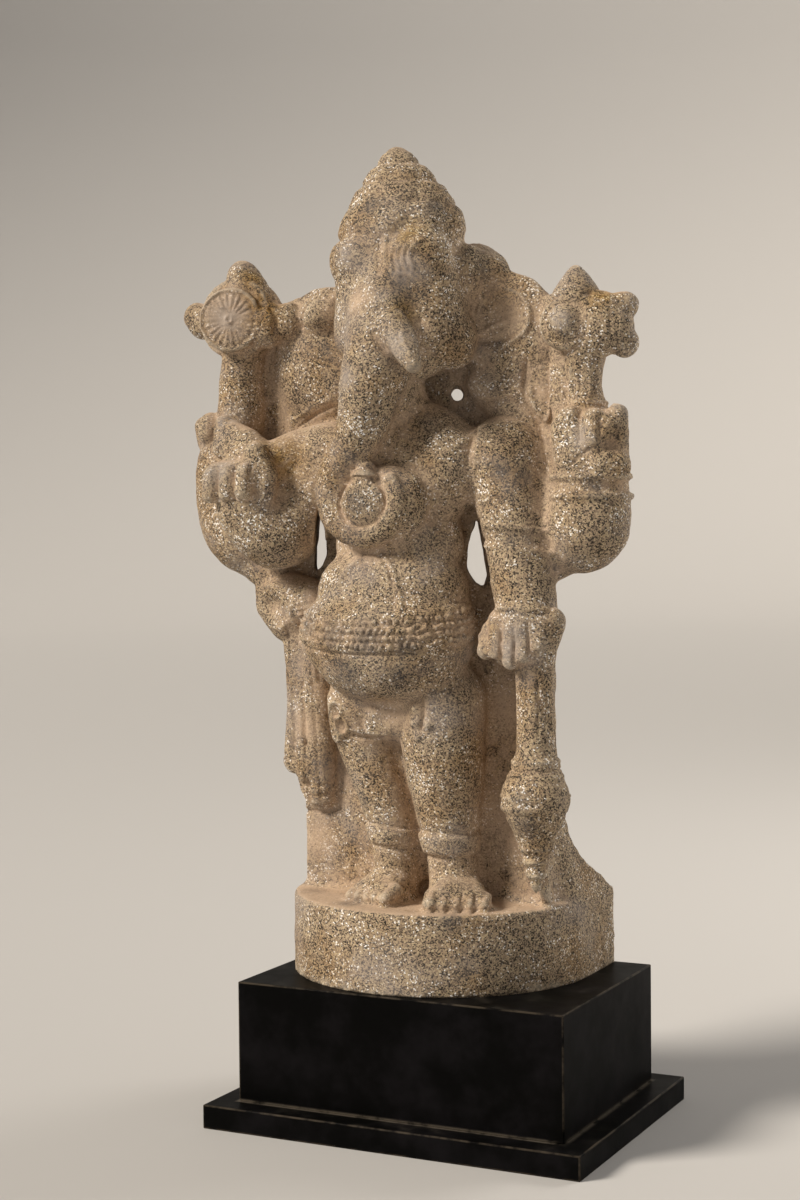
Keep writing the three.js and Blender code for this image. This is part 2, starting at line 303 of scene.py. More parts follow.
# %% [markdown]
# The head fills the space under the crown. Two bulges stand over the brow, the cheeks are full, and the
# trunk starts as wide as the face and narrows as it hangs. It ends in a curl round a small pot.

# %% The head, the trunk and the ears
# the head
ball(clay, (-2, HEAD_Y, 562), (60, 46, 62))
lump(clay, (-24, -54, 590, 28), (24, -56, 590, 29), (32, -50, 540, 30), (-30, -48, 540, 28))
lump(clay, (34, -50, 545, 28), (20, -52, 522, 22), (-20, -52, 522, 22))
ball(clay, (44, -40, 534), (21, 26, 26))
ball(clay, (32, -58, 562), (26, 24, 40))
ball(clay, (-27, -64, 600), (28, 20, 24))
ball(clay, (24, -64, 601), (31, 20, 26))
ball(clay, (-55, HEAD_Y, 600), (13, 17, 18))
ball(clay, (50, -24, 588), (18, 22, 26))

# the trunk
roll(clay, [(0, -58, 560, 39), (-2, -74, 528, 32), (-8, -82, 498, 27), (-14, -83, 474, 23)])
roll(clay, [(-14, -83, 474, 23), (-24, -80, 450, 20), (-39, -76, 431, 18), (-48, -75, 411, 16.5)])
roll(clay, [(-48, -75, 411, 16.5), (-46, -76, 393, 15), (-33, -77, 379, 13.5), (-15, -78, 374, 12.5)])
tip = [(13, -81, 408, 9), (8, -82, 418, 7.5)]
roll(clay, [(-15, -78, 374, 12.5), (2, -79, 381, 12), (12, -80, 394, 11), *tip])

# the ears
ball(clay, (86, -12, 538), (44, 13, 52), lean=-12)
ball(clay, (-92, -12, 530), (46, 14, 58), lean=12)
ball(clay, (64, -14, 591), (23, 16, 15), lean=30)
ball(clay, (-86, -22, 562), (21, 15, 17))
weigh(clay)

# %% [markdown]
# Four arms: the rear pair is raised at the sides and the front pair is lower. The right front arm bends up
# to a closed hand, and the left one hangs to the club. Each is a roll that starts deep in the shoulder.

# %% The arms
# the rear arms
roll(clay, [(-84, -4, 420, 34), (-132, -6, 382, 34), (-166, ARMS_Y, 378, 38), (-179, ARMS_Y, 410, 36)], 0.85)
roll(clay, [(-179, ARMS_Y, 410, 36), (-184, ARMS_Y, 436, 30), (-180, ARMS_Y, 456, 24)], 0.85)
roll(clay, [(90, -4, 430, 32), (132, -8, 380, 33), (151, ARMS_Y, 380, 37), (153, ARMS_Y, 408, 35)], 0.85)
roll(clay, [(153, ARMS_Y, 408, 35), (158, ARMS_Y, 436, 30), (160, ARMS_Y, 450, 27)], 0.85)

# the front arms
roll(clay, [(-76, -26, 438, 33), (-98, -34, 396, 31), (-118, -50, 376, 32), (-136, -62, 396, 29)])
lump(clay, (-136, -62, 396, 28), (-146, -66, 420, 22), (-124, -64, 426, 20))
lump(clay, (-124, -56, 430, 22), (-98, -34, 446, 20), (-84, -22, 448, 22))
roll(clay, [(84, -22, 436, 35), (91, -26, 396, 30), (97, -29, 362, 28), (106, -35, 322, 26)])
roll(clay, [(106, -35, 322, 26), (110, -40, 298, 25)])

# the slopes of stone at the shoulders
lump(clay, (60, -10, 498, 16), (110, -9, 481, 15), (126, -9, 434, 14))
lump(clay, (123, -12, 446, 17), (126, -14, 400, 18), (126, -14, 350, 15))
lump(clay, (-172, -14, 370, 24), (-150, -14, 347, 19), (-136, -16, 338, 19))
ball(clay, (-10, -44, 488), (30, 30, 34))

BODY_VOXEL = 3.0
BODY_PASSES = 7
body = fused(clay, BODY_VOXEL, BODY_PASSES)
print("the body has", len(body.vertices), "points")

# %% [markdown]
# The carver cut right through the stone in three places: a slit under the left armpit, another inside the
# right elbow, and a drilled hole beside the neck. Each is a prism that leans with the view, so that it can
# be looked through from the front. A boolean takes them out of the body, and the next remesh softens their
# rims.

# %% The pierced gaps
VIEW_DRIFT = -0.49
ARMPIT = [(48, 391), (43, 377), (38, 362), (38, 345), (45, 333), (55, 328), (58, 338), (54, 360), (50, 378)]
ELBOW = [(-101, 402), (-96, 379), (-96, 357), (-100, 347), (-108, 340), (-106, 364), (-104, 384)]
HOLE_X = 30
HOLE_Z = 491
HOLE_RADIUS = 6.0
HOLE_CORNERS = 20
CUT_REACH = 120

turns = [2 * pi * step / HOLE_CORNERS for step in range(HOLE_CORNERS)]
HOLE = [(HOLE_X + HOLE_RADIUS * cos(turn), HOLE_Z + HOLE_RADIUS * sin(turn)) for turn in turns]


def without(mesh, outline):
    """The mesh with a prism of that outline, leaned with the view, cut out of it."""
    piece = bmesh.new()
    plate(piece, outline, -CUT_REACH, CUT_REACH)
    for vert in piece.verts:
        vert.co.x += VIEW_DRIFT * vert.co.y
    cutter = linked("cutter", as_mesh("cutter", piece))
    rest = with_modifiers(mesh, ("BOOLEAN", {"object": cutter, "operation": "DIFFERENCE", "solver": "FAST"}))
    bpy.data.objects.remove(cutter)
    return rest


for outline in (ARMPIT, ELBOW, HOLE):
    body = without(body, outline)
print("with its gaps it has", len(body.vertices), "points")

# %% [markdown]
# The second layer is crisper. Fingers and toes are short rolls side by side. The crown is turned in four
# tiers with a ring of lobes on each, and the emblems stand on stems: a spoked wheel on one side, a conch
# on the other.

# %% Hands, feet, tusk and pot
def digits(clay, first, last, reach, radii, thin=0.9):
    """Fingers or toes side by side from first to last, each one reaching the same way."""
    for place, radius in enumerate(radii):
        start = Vector(first).lerp(Vector(last), place / (len(radii) - 1))
        end = start + Vector(reach)
        lump(clay, (*start, radius), (*end, radius * thin))


clay = bmesh.new()
clay.from_mesh(body)

# the right hands
lump(clay, (-158, -77, 424, 13), (-124, -80, 426, 13), (-140, -78, 404, 13))
digits(clay, (-159, -85, 424), (-125, -88, 426), (-1, -2, -15), [9, 9, 9])
lump(clay, (-122, -76, 442, 11), (-111, -77, 424, 10), (-114, -76, 406, 9))
lump(clay, (-164, -44, 462, 12), (-142, -56, 452, 14), (-126, -62, 438, 17), (-140, -62, 430, 18))
lump(clay, (-208, ARMS_Y, 470, 10), (-203, ARMS_Y, 458, 12))
ball(clay, (-194, -28, 467), (12, 14, 16))
lump(clay, (-172, -42, 469, 10), (-168, -50, 450, 11))

# the left hands
lump(clay, (90, -44, 302, 13), (130, -42, 302, 13), (94, -48, 276, 10), (124, -44, 278, 11))
lump(clay, (89, -53, 301, 7), (89, -57, 279, 6.8))
lump(clay, (101, -54, 301, 7.2), (102, -58, 271, 6.8))
lump(clay, (113, -54, 301, 7.2), (113, -57, 276, 6.8))
lump(clay, (126, -51, 301, 8), (125, -54, 285, 7.6))
lump(clay, (80, -48, 296, 7), (78, -52, 279, 7.5))
lump(clay, (142, -28, 458, 15), (172, -28, 456, 14), (150, -24, 432, 22))
lump(clay, (180, -20, 468, 9), (181, -24, 448, 10))
lump(clay, (165, -34, 464, 10), (167, -38, 446, 10))
lump(clay, (146, -34, 466, 10), (137, -34, 452, 8))
lump(clay, (172, -34, 430, 12), (182, -28, 428, 12))

# first toe, last toe, how they reach and their radii
LEFT_TOES = ((35, -66, 78), (74, -47, 76), (3, -12, -5), [7.4, 6.5, 6, 5.6, 5.4])
RIGHT_TOES = ((-3, -60, 78), (-43, -45, 76), (-3, -12, -5), [7.2, 6.4, 5.8, 5.6, 5.2])

for foot in (LEFT_TOES, RIGHT_TOES):
    digits(clay, *foot)

# the tusk
lump(clay, (-4, -80, 548, 20), (10, -82, 542, 20), (22, -88, 528, 13))
lump(clay, (12, -86, 543, 17), (30, -98, 523, 12), (41, -107, 508, 7))

POT = Vector((-15, -86, 400))
POT_RADIUS = 21.0

# the pot
ball(clay, POT + Vector((-1, 7, -2)), (30, 10, 28))
ball(clay, POT + Vector((24, 20, 0)), (24, 20, 30))
ball(clay, POT + Vector((14, 12, 20)), (20, 9, 11))
ball(clay, POT, (POT_RADIUS, 8, POT_RADIUS))
ball(clay, POT + Vector((0, 1, 22)), (12, 9, 4))
ball(clay, POT + Vector((1, 2, 29)), (8, 8, 7))
weigh(clay)

# %% The crown
CROWN_PROFILE = [
    (0, -34), (46, -34), (52, -16), (54, 0), (54, 8), (51, 19), (45, 30), (42, 34),
    (36, 44), (28, 54), (25, 58), (18, 66), (11, 74), (6, 78), (0, 80),
]
CROWN_SQUASH = 0.8
turned(clay, (-2, HEAD_Y, CROWN_FOOT), CROWN_PROFILE, flat=CROWN_SQUASH, lean=-4)
weigh(clay)

# %% The wheel and the conch
WHEEL = Vector((-164, -46, 560))
WHEEL_RADIUS = 27.5
WHEEL_SWING = 16.0
CONCH_BOSS = Vector((140, -36, 541))

# the wheel, its stem and its flames
roll(clay, [(-164, ARMS_Y - 4, 545, 19), (-168, ARMS_Y - 4, 508, 19.5), (-169, ARMS_Y - 4, 474, 22)])
disc(clay, (-165, -22, 562), 35, 28)
disc(clay, WHEEL + Vector((0, 4, 0)), WHEEL_RADIUS, 13, WHEEL_SWING)
roll(clay, [(-162, -20, 584, 21), (-166, -20, 600, 14)])
lump(clay, (-200, -20, 563, 14), (-212, -20, 567, 13), (-206, -20, 560, 13))
roll(clay, [(-136, -26, 561, 15), (-137, -28, 549, 14)])
ball(clay, (-121, -20, 558), (15, 15, 17))

# the conch, its stem and its flames
roll(clay, [(151, ARMS_Y, 524, 19), (151, ARMS_Y, 494, 14), (154, ARMS_Y, 468, 17)])
ball(clay, (160, -20, 541), (33, 20, 28))
ball(clay, CONCH_BOSS + Vector((0, 1, 0)), (21, 7, 22))
ball(clay, CONCH_BOSS + Vector((1, -1, 2)), (14, 10, 14))
roll(clay, [(145, -18, 560, 21), (145, -18, 574, 13), (145, -18, 583, 7)])
lump(clay, (176, -14, 552, 14), (185, -14, 556, 11))
lump(clay, (176, -14, 532, 14), (184, -14, 526, 12.5))
ball(clay, (180, -14, 541), (12, 12, 14))
ball(clay, (124, -14, 547), (13, 12, 22))
lump(clay, (134, -12, 520, 13), (134, -12, 470, 13))
lump(clay, (114, -14, 500, 11), (108, -14, 492, 7), (121, -14, 468, 5), flat=0.8)
weigh(clay)

# %% [markdown]
# The belt and the sash are cloth carved in low relief: a broad beaded belt low on the belly, a bow at the
# right hip with its ends down the slab's edge, and two tassels in front of the thighs. The club hangs from
# the left hand and is turned like a spindle, with a ring above a heavy bulb. A web of stone joins it to
# the slab.

# %% The sash and the club
CLUB_X = 114
CLUB_Y = -36

# the sash
lump(clay, (-138, -16, 336, 18), (-138, -16, 314, 18), (-122, -20, 298, 18), (-108, -24, 306, 15))
lump(clay, (-132, -18, 326, 20), (-98, -26, 316, 20))
roll(clay, [(-104, -16, 290, 16), (-105, -13, 170, 15)])
roll(clay, [(-114, -22, 290, 14), (-114, -18, 240, 12), (-118, -14, 190, 13), (-122, -12, 178, 12)], 0.8)
roll(clay, [(-92, -28, 290, 15), (-94, -24, 240, 14), (-95, -18, 190, 14), (-97, -12, 150, 15)], 0.8)
roll(clay, [(-58, -50, 236, 11), (-60, -48, 222, 9), (-57, -47, 206, 10)])
roll(clay, [(24, -58, 236, 8), (24, -58, 222, 9), (22, -56, 206, 8)])

# the bow on the skirt
ball(clay, (-8, -38, 221), (46, 21, 21))
lump(clay, (-28, -49, 226, 10), (-16, -50, 226, 10), (-24, -48, 213, 10))

# the club
CLUB_PROFILE = [
    (0, 80), (3, 84), (8, 96), (10.5, 107), (13, 118), (18, 131), (24, 142), (27.5, 151), (28.5, 159),
    (27, 168), (22, 177), (19, 188), (16, 196), (15, 215), (15, 240), (16, 262), (19, 292), (0, 296),
]
turned(clay, (CLUB_X, CLUB_Y, 0), CLUB_PROFILE)
plate(clay, [(98, 128), (119, 128), (120, 300), (98, 300)], -28, -4)
tip = [(113, -33, 87), (115, -33, 87), (110, -10, 60), (118, -10, 60)]
hull(clay, [(105, -30, 132), (122, -30, 132), *tip])

CARVING_VOXEL = 1.5
CARVING_PASSES = 3
carving = fused(clay, CARVING_VOXEL, CARVING_PASSES)
print("the carving has", len(carving.vertices), "points")

# %% [markdown]
# The finer lines are cut as a carver cuts them, straight into the finished skin. A chisel here is a short
# function that moves the points near a line, a ring or a spot along their own outward direction. That
# keeps the surface whole, and a worn edge is only a wider, lower stroke. Sculpting by hand would give the
# same points, but nobody could read how.

# %% Chisels
STROKE_DEPTH = 8.0
ARC_STEP = 20
TURNED_AWAY = 0.1
FAR = 1e3
RING_FADE = 2.0


def curved(line):
    """A smooth curve through the points of (x, y, z)."""
    stops = [Vector(point) for point in line]
    ends = [stops[0], *stops, stops[-1]]
    if line[0] == line[-1]:
        ends = [stops[-2], *stops, stops[1]]
    points = [stops[0]]
    for before, start, end, after in zip(ends, ends[1:], ends[2:], ends[3:]):
        shares = [(step + 1) / CURVE_STEPS for step in range(CURVE_STEPS)]
        points += [between(before, start, end, after, share) for share in shares]
    return np.array(points)


def arc(centre, radius, start=0.0, end=360.0, tall=1.0):
    """Points round a centre in the XZ plane, between two angles in degrees."""
    x, y, z = centre
    turns = np.radians(np.linspace(start, end, max(3, round(abs(end - start) / ARC_STEP))))
    return [(x + radius * cos(turn), y, z + tall * radius * sin(turn)) for turn in turns]


def fall(distance, reach, edge):
    """1 inside the reach, falling smoothly to 0 over the last stretch called edge."""
    share = np.clip((reach - distance) / edge, 0, 1)
    return share * share * (3 - 2 * share)


class Skin:
    """The carving's points and their outward directions, as arrays that the chisels move."""

    def __init__(self, mesh):
        self.mesh = mesh
        self.points = np.empty((len(mesh.vertices), 3), np.float32)
        self.outward = np.empty_like(self.points)
        self.moved = 0
        mesh.vertices.foreach_get("co", self.points.ravel())
        self.settle()

    def settle(self):
        """Writes the points back to the mesh and takes the outward directions again."""
        self.mesh.vertices.foreach_set("co", self.points.ravel())
        self.mesh.update()
        self.mesh.vertex_normals.foreach_get("vector", self.outward.ravel())
        print("points moved so far:", self.moved)

    def move(self, near, amount):
        """Moves the points whose indices are in near by an amount each, outwards."""
        self.moved += len(near)
        self.points[near] += amount[:, None] * self.outward[near]

    def stroke(self, line, width, height):
        """Raises a ridge along a line of (x, y, z) on the front, or cuts a groove by a height below 0."""
        line = curved(line) if len(line) > 2 else np.array(line, float)
        margin = np.array((width, STROKE_DEPTH + width, width))
        inside = (self.points > line.min(0) - margin) & (self.points < line.max(0) + margin)
        near = np.flatnonzero(inside.all(1) & (self.outward[:, 1] < TURNED_AWAY))
        here = self.points[near]
        gap = np.full(len(near), FAR)
        for start, end in zip(line, line[1:]):
            along = (end - start)[[0, 2]]
            share = np.clip((here[:, [0, 2]] - start[[0, 2]]) @ along / (along @ along), 0, 1)
            away = here - (start + share[:, None] * (end - start))
            too_deep = np.maximum(np.abs(away[:, 1]) - STROKE_DEPTH, 0)
            gap = np.minimum(gap, np.hypot(away[:, 0], away[:, 2]) + too_deep)
        # whole on what faces the viewer, and nothing on what turns away
        facing = np.clip(0.2 - 2 * self.outward[near, 1], 0, 1)
        self.move(near, height * fall(gap, width, width) * facing)

    def band(self, at, along, reach, width, height, edge=None, back=FAR):
        """Raises a ring of that half width round a limb, in front of the depth back.

        The limb's axis runs through at, and only what lies within reach of it is moved.
        """
        along = Vector(along).normalized()
        away = self.points - np.array(at, np.float32)
        level = away @ np.array(along, np.float32)
        near = np.flatnonzero((np.abs(level) < width) & (self.points[:, 1] < back))
        aside = np.linalg.norm(away[near] - level[near][:, None] * np.array(along, np.float32), axis=1)
        near, aside = near[aside < reach], aside[aside < reach]
        fade = fall(aside, reach, RING_FADE)
        self.move(near, height * fall(np.abs(level[near]), width, edge or width) * fade)

    def swell(self, at, half, height, edge=1.0):
        """Raises a soft bump with those half sizes, or a hollow where height is below 0."""
        away = (self.points - np.array(at, np.float32)) / np.array(half, np.float32)
        gap = np.linalg.norm(away, axis=1)
        near = np.flatnonzero(gap < 1)
        self.move(near, height * fall(gap[near], 1.0, edge))


skin = Skin(carving)
# the three chisels under short names
stroke, band, swell = skin.stroke, skin.band, skin.swell
print("the chisels have", len(skin.points), "points to move")

# %% [markdown]
# The crown is a cone of overlapping scales in four rows. Each scale is a low bump with a groove under its
# row, worn nearly smooth. The brow carries two bosses, and the left one has a knob over a short ribbed
# band. The eye is only a faint almond, and a hollow parts the forehead from the roots of trunk and tusk.

# %% The crown's scales and the face
# height, radius, how many scales, their half size and how far they stand out
CROWN_ROWS = [(17, 52, 9, 17, 2.1), (38, 42, 8, 14, 1.9), (56, 28, 7, 11, 1.6), (71, 15, 6, 7, 0.9)]
CROWN_LEAN = 0.07

# the crown's scales, and the grooves between the rows
for row, (height, radius, count, size, depth) in enumerate(CROWN_ROWS):
    for scale in range(count):
        angle = 2 * pi * (scale + 0.5 * row) / count
        x = -2 + radius * cos(angle) - height * CROWN_LEAN
        y = HEAD_Y + CROWN_SQUASH * radius * sin(angle)
        swell((x, y, CROWN_FOOT + height), (size, size, size), depth, edge=0.55)
    skin.settle()
for height in (29, 48, 65):
    band((-2, HEAD_Y, CROWN_FOOT + height), (0, 0, 1), 64, 2.6, -0.8)
band((-2, HEAD_Y, CROWN_FOOT + 1), (0, 0, 1), 64, 6.0, -0.8, edge=5)

# the brow, the bosses over it, the eye and the roots of trunk and tusk
swell((28, -84, 609), (14, 12, 12), 1.6, edge=0.5)
stroke([(3, -78, 613), (5, -83, 600), (9, -86, 588), (19, -87, 582)], 2.8, 2.0)
stroke([(-2, -76, 614), (-2, -80, 600), (1, -84, 584)], 5, -1.8)
for x in (11, 17, 23, 29):
    stroke([(x + 2, -86, 606), (x - 1.5, -87, 597), (x + 2, -87, 588)], 2.4, 1.8)
swell((2, -90, 566), (19, 18, 7), -2.0)
stroke([(-24, -92, 552), (-10, -98, 559), (4, -99, 557)], 4, 1.5)
swell((49, -73, 571), (9, 10, 5), 0.9)
stroke([(42, -76, 567), (50, -72, 565), (56, -66, 568)], 2.4, -0.8)
stroke([(-52, -62, 610), (-58, -56, 600), (-56, -56, 588)], 3, -1.2)
stroke([(34, -88, 546), (42, -90, 534), (50, -88, 518)], 3.5, -2.0)
stroke([(4, -96, 534), (15, -98, 520), (26, -96, 508)], 4.5, -2.4)
for x in (22, 29, 36):
    stroke([(x - 6, -106, 535), (x + 5, -112, 515)], 1.8, 0.7)
skin.settle()

# %% [markdown]
# The ears are broad fans behind the emblems. The left one, on the viewer's right, shows a rim and two
# folds that spread like the ribs of a leaf. The other has a round inner curl and a pane below it.

# %% The ears, the leaf and the shoulder lines
# the left ear
bowl = [(59, -22, 553), (63, -22, 566), (74, -21, 573), (87, -21, 573), (100, -22, 566), (106, -24, 552)]
swell((83, -24, 552), (23, 16, 22), -4.0, edge=0.9)
stroke([*bowl, (102, -24, 538), (90, -24, 531)], 3.6, 2.4)
stroke([(62, -23, 538), (72, -25, 543), (83, -25, 548)], 3.6, 2.0)
stroke([(60, -24, 531), (74, -25, 532), (92, -24, 534)], 3.2, -2.6)
stroke([(62, -22, 518), (80, -24, 514), (94, -22, 516)], 4, 1.6)
stroke([(60, -30, 585), (76, -24, 590)], 4, 1.5)
swell((70, -26, 580), (12, 12, 5), -2.0)

# the leaf beside the neck
edge = [(110, -21, 507), (123, -15, 508), (125, -15, 498), (124, -17, 482), (120, -17, 465)]
stroke([*edge, (113, -16, 472), (107, -18, 486), (107, -20, 501), (110, -21, 507)], 2.2, 2.4)
stroke([(102, -20, 514), (100, -17, 496), (104, -16, 480), (116, -17, 464)], 3.5, -3.4)
stroke([(129, -12, 508), (129, -12, 483)], 3, -2)

# the right ear
stroke([(-104, -28, 553), (-99, -32, 567), (-90, -32, 577), (-78, -30, 577)], 3, -3)
stroke([(-119, -17, 570), (-101, -13, 582), (-82, -11, 584)], 4, 1.6)
stroke([(-116, -14, 468), (-97, -17, 477), (-78, -18, 484)], 2.4, -1.8)
stroke([(-120, -12, 474), (-98, -17, 484), (-80, -18, 490)], 3, 1.2)
swell((-104, -20, 513), (26, 12, 24), 1.6)
swell((-87, -34, 562), (13, 10, 12), 1.5)

# the shoulders
stroke([(70, -46, 460), (73, -51, 450), (71, -54, 434), (69, -53, 422)], 3, 1.8)
stroke([(66, -46, 462), (66, -50, 448), (64, -53, 430)], 3, -1.6)
stroke([(42, -60, 452), (52, -55, 466), (64, -30, 474)], 5, 1.4)
stroke([(43, -66, 434), (58, -58, 446), (66, -50, 456)], 4, 1.2)
stroke([(62, -20, 481), (84, -20, 484), (108, -20, 470), (120, -20, 448), (123, -22, 420)], 3.4, -2.4)
stroke([(123, -22, 420), (124, -24, 385), (124, -24, 350)], 3, -1.6)
skin.settle()

# %% [markdown]
# The wheel has a rim and some twenty thin spokes, and the conch shows its end as a ringed boss. Both stand
# between flames. The jar in the trunk's curl is a disc with a raised edge under a lidded neck.

# %% The emblems and the jar
SPOKES = 22

# the wheel
turn = Matrix.Rotation(radians(WHEEL_SWING), 3, "Z")
face = WHEEL + turn @ Vector((0, -3, 0))
for spoke in range(SPOKES):
    angle = 2 * pi * spoke / SPOKES
    out = turn @ Vector((cos(angle), 0, sin(angle)))
    stroke([face + 3 * out, face + 22 * out], 1.6, 1.1)
for radius, height in ((22.5, -0.7), (25.5, 0.9)):
    stroke([face + turn @ Vector(point) for point in arc((0, 0, 0), radius)], 2.1, height)
swell(face, (4, 6, 4), 1.2)
stroke([(-129, -44, 569), (-123, -44, 561), (-125, -44, 549)], 2.6, -2.0)

# the conch and its stem
stroke(arc((142, -42, 542), 15.5, tall=1.05), 2.2, -1.6)
stroke(arc((141, -38, 541), 20.5, tall=1.1), 2.2, -1.2)
stroke(arc((141, -36, 541), 24, 60, 300, tall=1.1), 2.2, 1.0)
stroke([(137, -34, 568), (156, -34, 565), (172, -28, 566)], 2.2, -1.6)
stroke([(188, -26, 550), (187, -24, 534), (186, -22, 521)], 2.5, 1.4)
stroke([(180, -30, 552), (180, -30, 524)], 2.5, -1.2)
stroke([(145, -28, 507), (143, -28, 484)], 2.2, 1.5)
stroke([(153, -32, 508), (152, -31, 482)], 2.2, -1.2)
stroke([(160, -32, 508), (160, -31, 482)], 2.2, 1.5)
band((156, ARMS_Y, 478), (0, 0, 1), 24, 3, 1.6, back=0)

# the jar
stroke(arc(POT + Vector((0, -6, 0)), 21, 120, 420, tall=0.96), 1.8, -1.3)
stroke(arc(POT + Vector((0, -5, 0)), 24, 130, 410, tall=0.96), 2.0, 0.9)
stroke([(-24, -92, 426), (0, -92, 425)], 2.2, 2.0)
stroke([(-22, -92, 421), (-1, -92, 420)], 1.8, -2.4)
swell((10, -90, 424), (3.5, 6, 3), -2.4)
skin.settle()

# %% [markdown]
# Arms and ankles wear plain rings, and the belt is a wide band of worn beads that follows the belly round.
# The belt dips at the front, so its ring is tilted. Cloth shows as hems, folds and small hanging bows.

# %% Rings, belt and cloth
BELT_AT = (-14, -44, 303)
BELT_UP = (0, -0.19, 1)
BELT_REACH = 88
BELT_RADIUS = 62
BELT_BACK = -24
BEADS_HALF = 13
BEAD_PITCH = 6.4
BEAD_DEPTH = 3.4
WANDER_SIZE = 10
ROW_WANDER = 2.4
BEAD_WANDER = 1.1

# the rings on arms and ankles
band((100, -28, 370), (0.1, 0, 1), 34, 6.5, -1.5, edge=2, back=-20)
band((100, -28, 379), (0.1, 0, 1), 34, 2.5, 1.6, back=-20)
band((102, -28, 361), (0.1, 0, 1), 34, 2.5, 1.3, back=-20)
stroke([(85, -56, 426), (101, -53, 422), (113, -43, 415)], 3, -0.9)
stroke([(88, -55, 312), (98, -61, 314), (112, -62, 314), (129, -51, 312)], 3.6, 2.4)
for z, width, height in ((419, 3.2, 2.4), (411, 5, -1.4), (403, 3.2, 2.2)):
    band((160, ARMS_Y, z), (0, 0, 1), 38, width, height, edge=2, back=-2)
band((-17, -30, 121), (0.1, 0, 1), 27, 7.5, 2.8, edge=2, back=-14)
band((-17, -30, 112), (0.1, 0, 1), 27, 2, -1.4, back=-14)
band((-18, -30, 130.5), (0.1, 0, 1), 30, 2, -1.2, back=-14)
band((36, -31, 117), (0, 0, 1), 30, 9, 2.8, edge=2, back=-14)
band((36, -31, 106.5), (0, 0, 1), 30, 2.2, -1.4, back=-14)
band((35, -31, 128), (0, 0, 1), 32, 2.2, -1.2, back=-14)

# the belt
up = Vector(BELT_UP).normalized()
band(BELT_AT, up, BELT_REACH, 16, 1.8, edge=4, back=BELT_BACK)
away = skin.points - np.array(BELT_AT, np.float32)
level = away @ np.array(up, np.float32)
around = np.arctan2(away[:, 0], -away[:, 1])
near = (np.abs(level) < BEADS_HALF) & (np.hypot(away[:, 0], away[:, 1]) < BELT_REACH)
near = np.flatnonzero(near & (skin.points[:, 1] < BELT_BACK))
wander = np.array([noise.noise(Vector(spot) / WANDER_SIZE) for spot in skin.points[near].tolist()])
rows = (level[near] + ROW_WANDER * wander) / BEAD_PITCH
along = around[near] * BELT_RADIUS / BEAD_PITCH + 0.5 * np.floor(rows) + BEAD_WANDER * wander
bead = np.sin(pi * (along % 1)) * np.sin(pi * (rows % 1))
skin.move(near, BEAD_DEPTH * (bead - 0.5) * fall(np.abs(level[near]), BEADS_HALF, 2))
band(Vector(BELT_AT) + 15 * up, up, BELT_REACH, 2.6, 0.9, back=BELT_BACK)
band(Vector(BELT_AT) - 16.5 * up, up, BELT_REACH, 2.6, -1.3, back=BELT_BACK)

# the folds over the belly
arch = [(-44, -79, 326), (-42, -79, 334), (-34, -77, 346), (-22, -75, 354), (-8, -76, 353), (2, -79, 343)]
stroke([*arch, (10, -84, 326)], 3.2, 2.0)
swell((-18, -82, 332), (20, 14, 17), 1.0)
stroke([(-4, -76, 356), (8, -80, 344), (14, -85, 328), (19, -90, 312)], 2.4, 2.0)
stroke([(6, -80, 340), (9, -85, 328), (13, -91, 314)], 2.2, -1.5)
stroke([(-79, -70, 280), (-86, -50, 266), (-86, -36, 250)], 3, -1.4)

# the tassels
for loop in ((-57, -60, 227), (-53, -60, 214)):
    stroke(arc(loop, 6, tall=1.2), 2.4, 2.4)
swell((-57, -59, 201), (7, 8, 6), 2.2)
for x, y, z in ((-34, -60, 226), (-21, -62, 226), (-28, -58, 214)):
    swell((x, y, z), (7, 8, 7), 2.6)
    swell((x, y - 2, z), (3, 6, 3), -2.0)
stroke([(-44, -54, 206), (-34, -54, 204), (-20, -56, 204), (-8, -49, 203)], 2.6, -3.0)
stroke([(-44, -55, 211), (-30, -57, 209), (-12, -54, 208)], 2.4, 1.6)
stroke([(26, -67, 242), (28, -68, 228), (25, -67, 214)], 2.4, -2.4)
for x, y, z in ((20, -66, 232), (18, -65, 219), (32, -66, 218), (22, -64, 207)):
    swell((x, y, z), (6.5, 8, 6.5), 3.0)

# the sash's folds
swell((-130, -36, 313), (13, 14, 11), -3.0, edge=0.7)
stroke([(-140, -24, 328), (-126, -34, 330), (-112, -36, 322)], 4, 1.5)
stroke([(-138, -20, 298), (-124, -34, 294), (-112, -36, 300)], 4, 1.4)
stroke([(-104, -36, 318), (-110, -38, 306), (-104, -38, 292), (-98, -42, 280)], 4, 1.6)
for z, y in ((270, -32), (220, -28), (170, -20)):
    stroke([(-104, y, z + 26), (-104, y + 3, z - 26)], 3, -2.4)
    stroke([(-92, y - 5, z + 26), (-92, y - 1, z - 26)], 2.2, -1.0)
    stroke([(-116, y, z + 26), (-116, y + 3, z - 26)], 2.2, -1.0)
for z in (159, 150, 141):
    stroke([(-108, -21, z), (-96, -22, z - 2), (-82, -16, z)], 2.4, -1.2)
stroke([(-114, -10, 133), (-98, -12, 133), (-80, -10, 137)], 3, -2.4)
stroke([(-132, -16, 181), (-120, -22, 178)], 2.4, -1.6)
swell((-122, -14, 170), (12, 14, 12), 1.0)
skin.settle()

